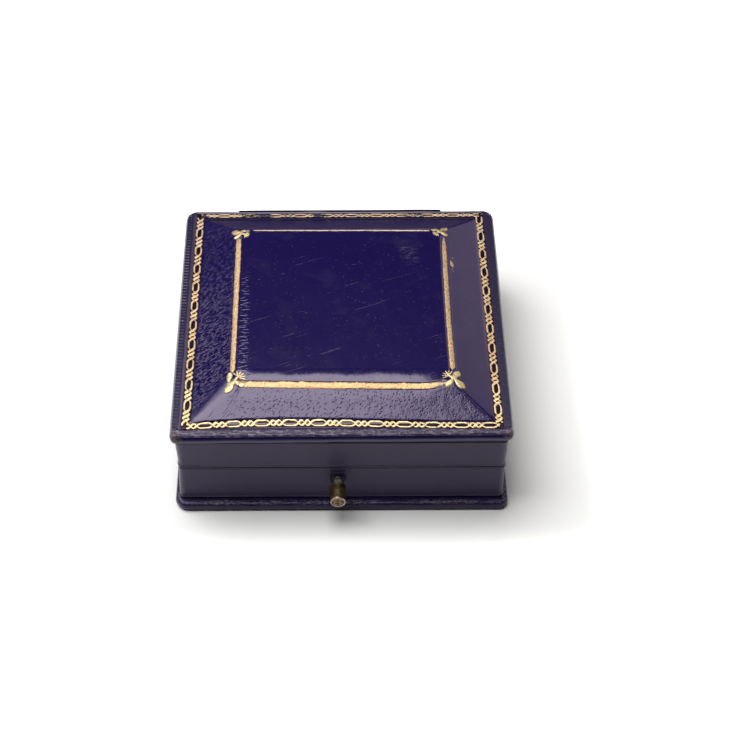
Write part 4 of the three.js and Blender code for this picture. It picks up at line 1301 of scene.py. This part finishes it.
def studio():
    """A plain white floor that keeps the shadow, a dim room, a soft box above and a card behind."""
    half = 1.5
    mesh = bpy.data.meshes.new("floor")
    mesh.from_pydata([(-half, -half, 0), (half, -half, 0), (half, half, 0), (-half, half, 0)], [],
                     [(0, 1, 2, 3)])
    floor = bpy.data.objects.new("floor", mesh)
    bpy.context.collection.objects.link(floor)
    made, add, place = material("paper_white_matt")
    smooth = {"interpolation_type": "SMOOTHSTEP"}
    fibre = add("TexNoise", {"Vector": place, "Scale": per(0.4), "Detail": 2.0})
    # Past the shadow, and further off to the right where it falls, the paper glows to the camera
    shifted = add("VectorMath", {0: place, 1: (0.0075, 0, 0)}, operation="SUBTRACT")
    shifted = add("VectorMath", {0: shifted}, operation="ABSOLUTE")
    outside = add("VectorMath", {0: shifted, 1: (0.0505, 0.0435, 0)}, operation="SUBTRACT")
    outside = add("VectorMath", {0: outside, 1: (0, 0, 0)}, operation="MAXIMUM")
    outside = add("VectorMath", {0: outside}, take="Value", operation="LENGTH")
    past = add("MapRange", {0: outside, 1: 0.003, 2: 0.020, 3: 0.0, 4: 0.48}, **smooth)
    away = add("VectorMath", {0: place}, take="Value", operation="LENGTH")
    far = add("MapRange", {0: away, 1: 0.09, 2: 0.26}, **smooth)
    # Mirrors see a dimmer glow than the camera, and a dark floor behind the case, as the
    # photograph's dark back slope shows
    along = add("SeparateXYZ", {0: place}, take="Y")
    behind = add("MapRange", {0: along, 1: 0.07, 2: 0.15}, **smooth)
    mirrored = add("Math", {0: behind, 1: -0.12, 2: 0.12}, operation="MULTIPLY_ADD")
    seen = add("Math", {0: add("LightPath", take="Is Glossy Ray"), 1: mirrored,
                        2: add("LightPath", take="Is Camera Ray")}, operation="MULTIPLY_ADD")
    glow = add("Math", {0: past, 1: far}, operation="MAXIMUM")
    lifted = add("Math", {0: behind, 1: 2.0}, operation="MULTIPLY", use_clamp=True)
    glow = add("Math", {0: glow, 1: lifted}, operation="MAXIMUM")
    glow = add("Math", {0: glow, 1: seen}, operation="MULTIPLY")
    # Painted shade: the paper is painted grey far off and darker behind the case, so that mirrors
    # show a dim room; the glow keeps it white to the camera
    paper = layered(add, "eeeeec", (fibre, "f3f3f1"), (far, "8c8c8c"), (behind, "57504f"))
    lit = add("BsdfDiffuse", {"Color": paper})
    glowing = add("Emission", {"Strength": glow})
    add("OutputMaterial", {"Surface": add("AddShader", {0: lit, 1: glowing})})
    mesh.materials.append(made)

    world = bpy.data.worlds.new("room")
    world.use_nodes = True
    bpy.context.scene.world = world
    world.node_tree.nodes.clear()
    add = partial(node, world.node_tree)
    strength = add("Math", {0: add("LightPath", take="Is Camera Ray"), 1: 0.97, 2: 0.03},
                   operation="MULTIPLY_ADD")
    light = add("Background", {"Color": (1, 1, 1, 1), "Strength": strength})
    add("OutputWorld", {"Surface": light})

    soft_box("soft_box_above", (-0.225, 0.11, 0.60), target=(-0.225, 0.11, 0), size=(0.64, 0.58),
             radiance=6.2, turn=-9)
    soft_box("card_behind", (0.44, 0.54, 0.39), target=(0, 0, 0.02), size=(0.32, 0.32),
             radiance=1.8, colour=(1.0, 0.87, 0.84))


def camera():
    """The photograph's camera, worked out from the case's own corners in the photograph."""
    photo_width = 750
    focal = 1727.35
    principal_x = 337.54
    elevation, yaw = math.radians(47.205), math.radians(0.324)
    place = Vector((-2.654, -318.25, 348.47)) * MM
    ahead = Vector((math.sin(yaw) * math.cos(elevation), math.cos(yaw) * math.cos(elevation),
                    -math.sin(elevation)))
    right = Vector((math.cos(yaw), -math.sin(yaw), 0))
    up = right.cross(ahead)
    lens = bpy.data.cameras.new("camera")
    lens.sensor_width = 36
    lens.lens = 36 * focal / photo_width
    lens.shift_x = (photo_width / 2 - principal_x) / photo_width
    lens.clip_start = 0.01
    made = bpy.data.objects.new("camera", lens)
    bpy.context.collection.objects.link(made)
    turn = Matrix((right, up, -ahead)).transposed().to_4x4()
    made.matrix_world = Matrix.Translation(place) @ turn
    bpy.context.scene.camera = made


studio()
camera()
bpy.context.scene.view_settings.view_transform = "Standard"
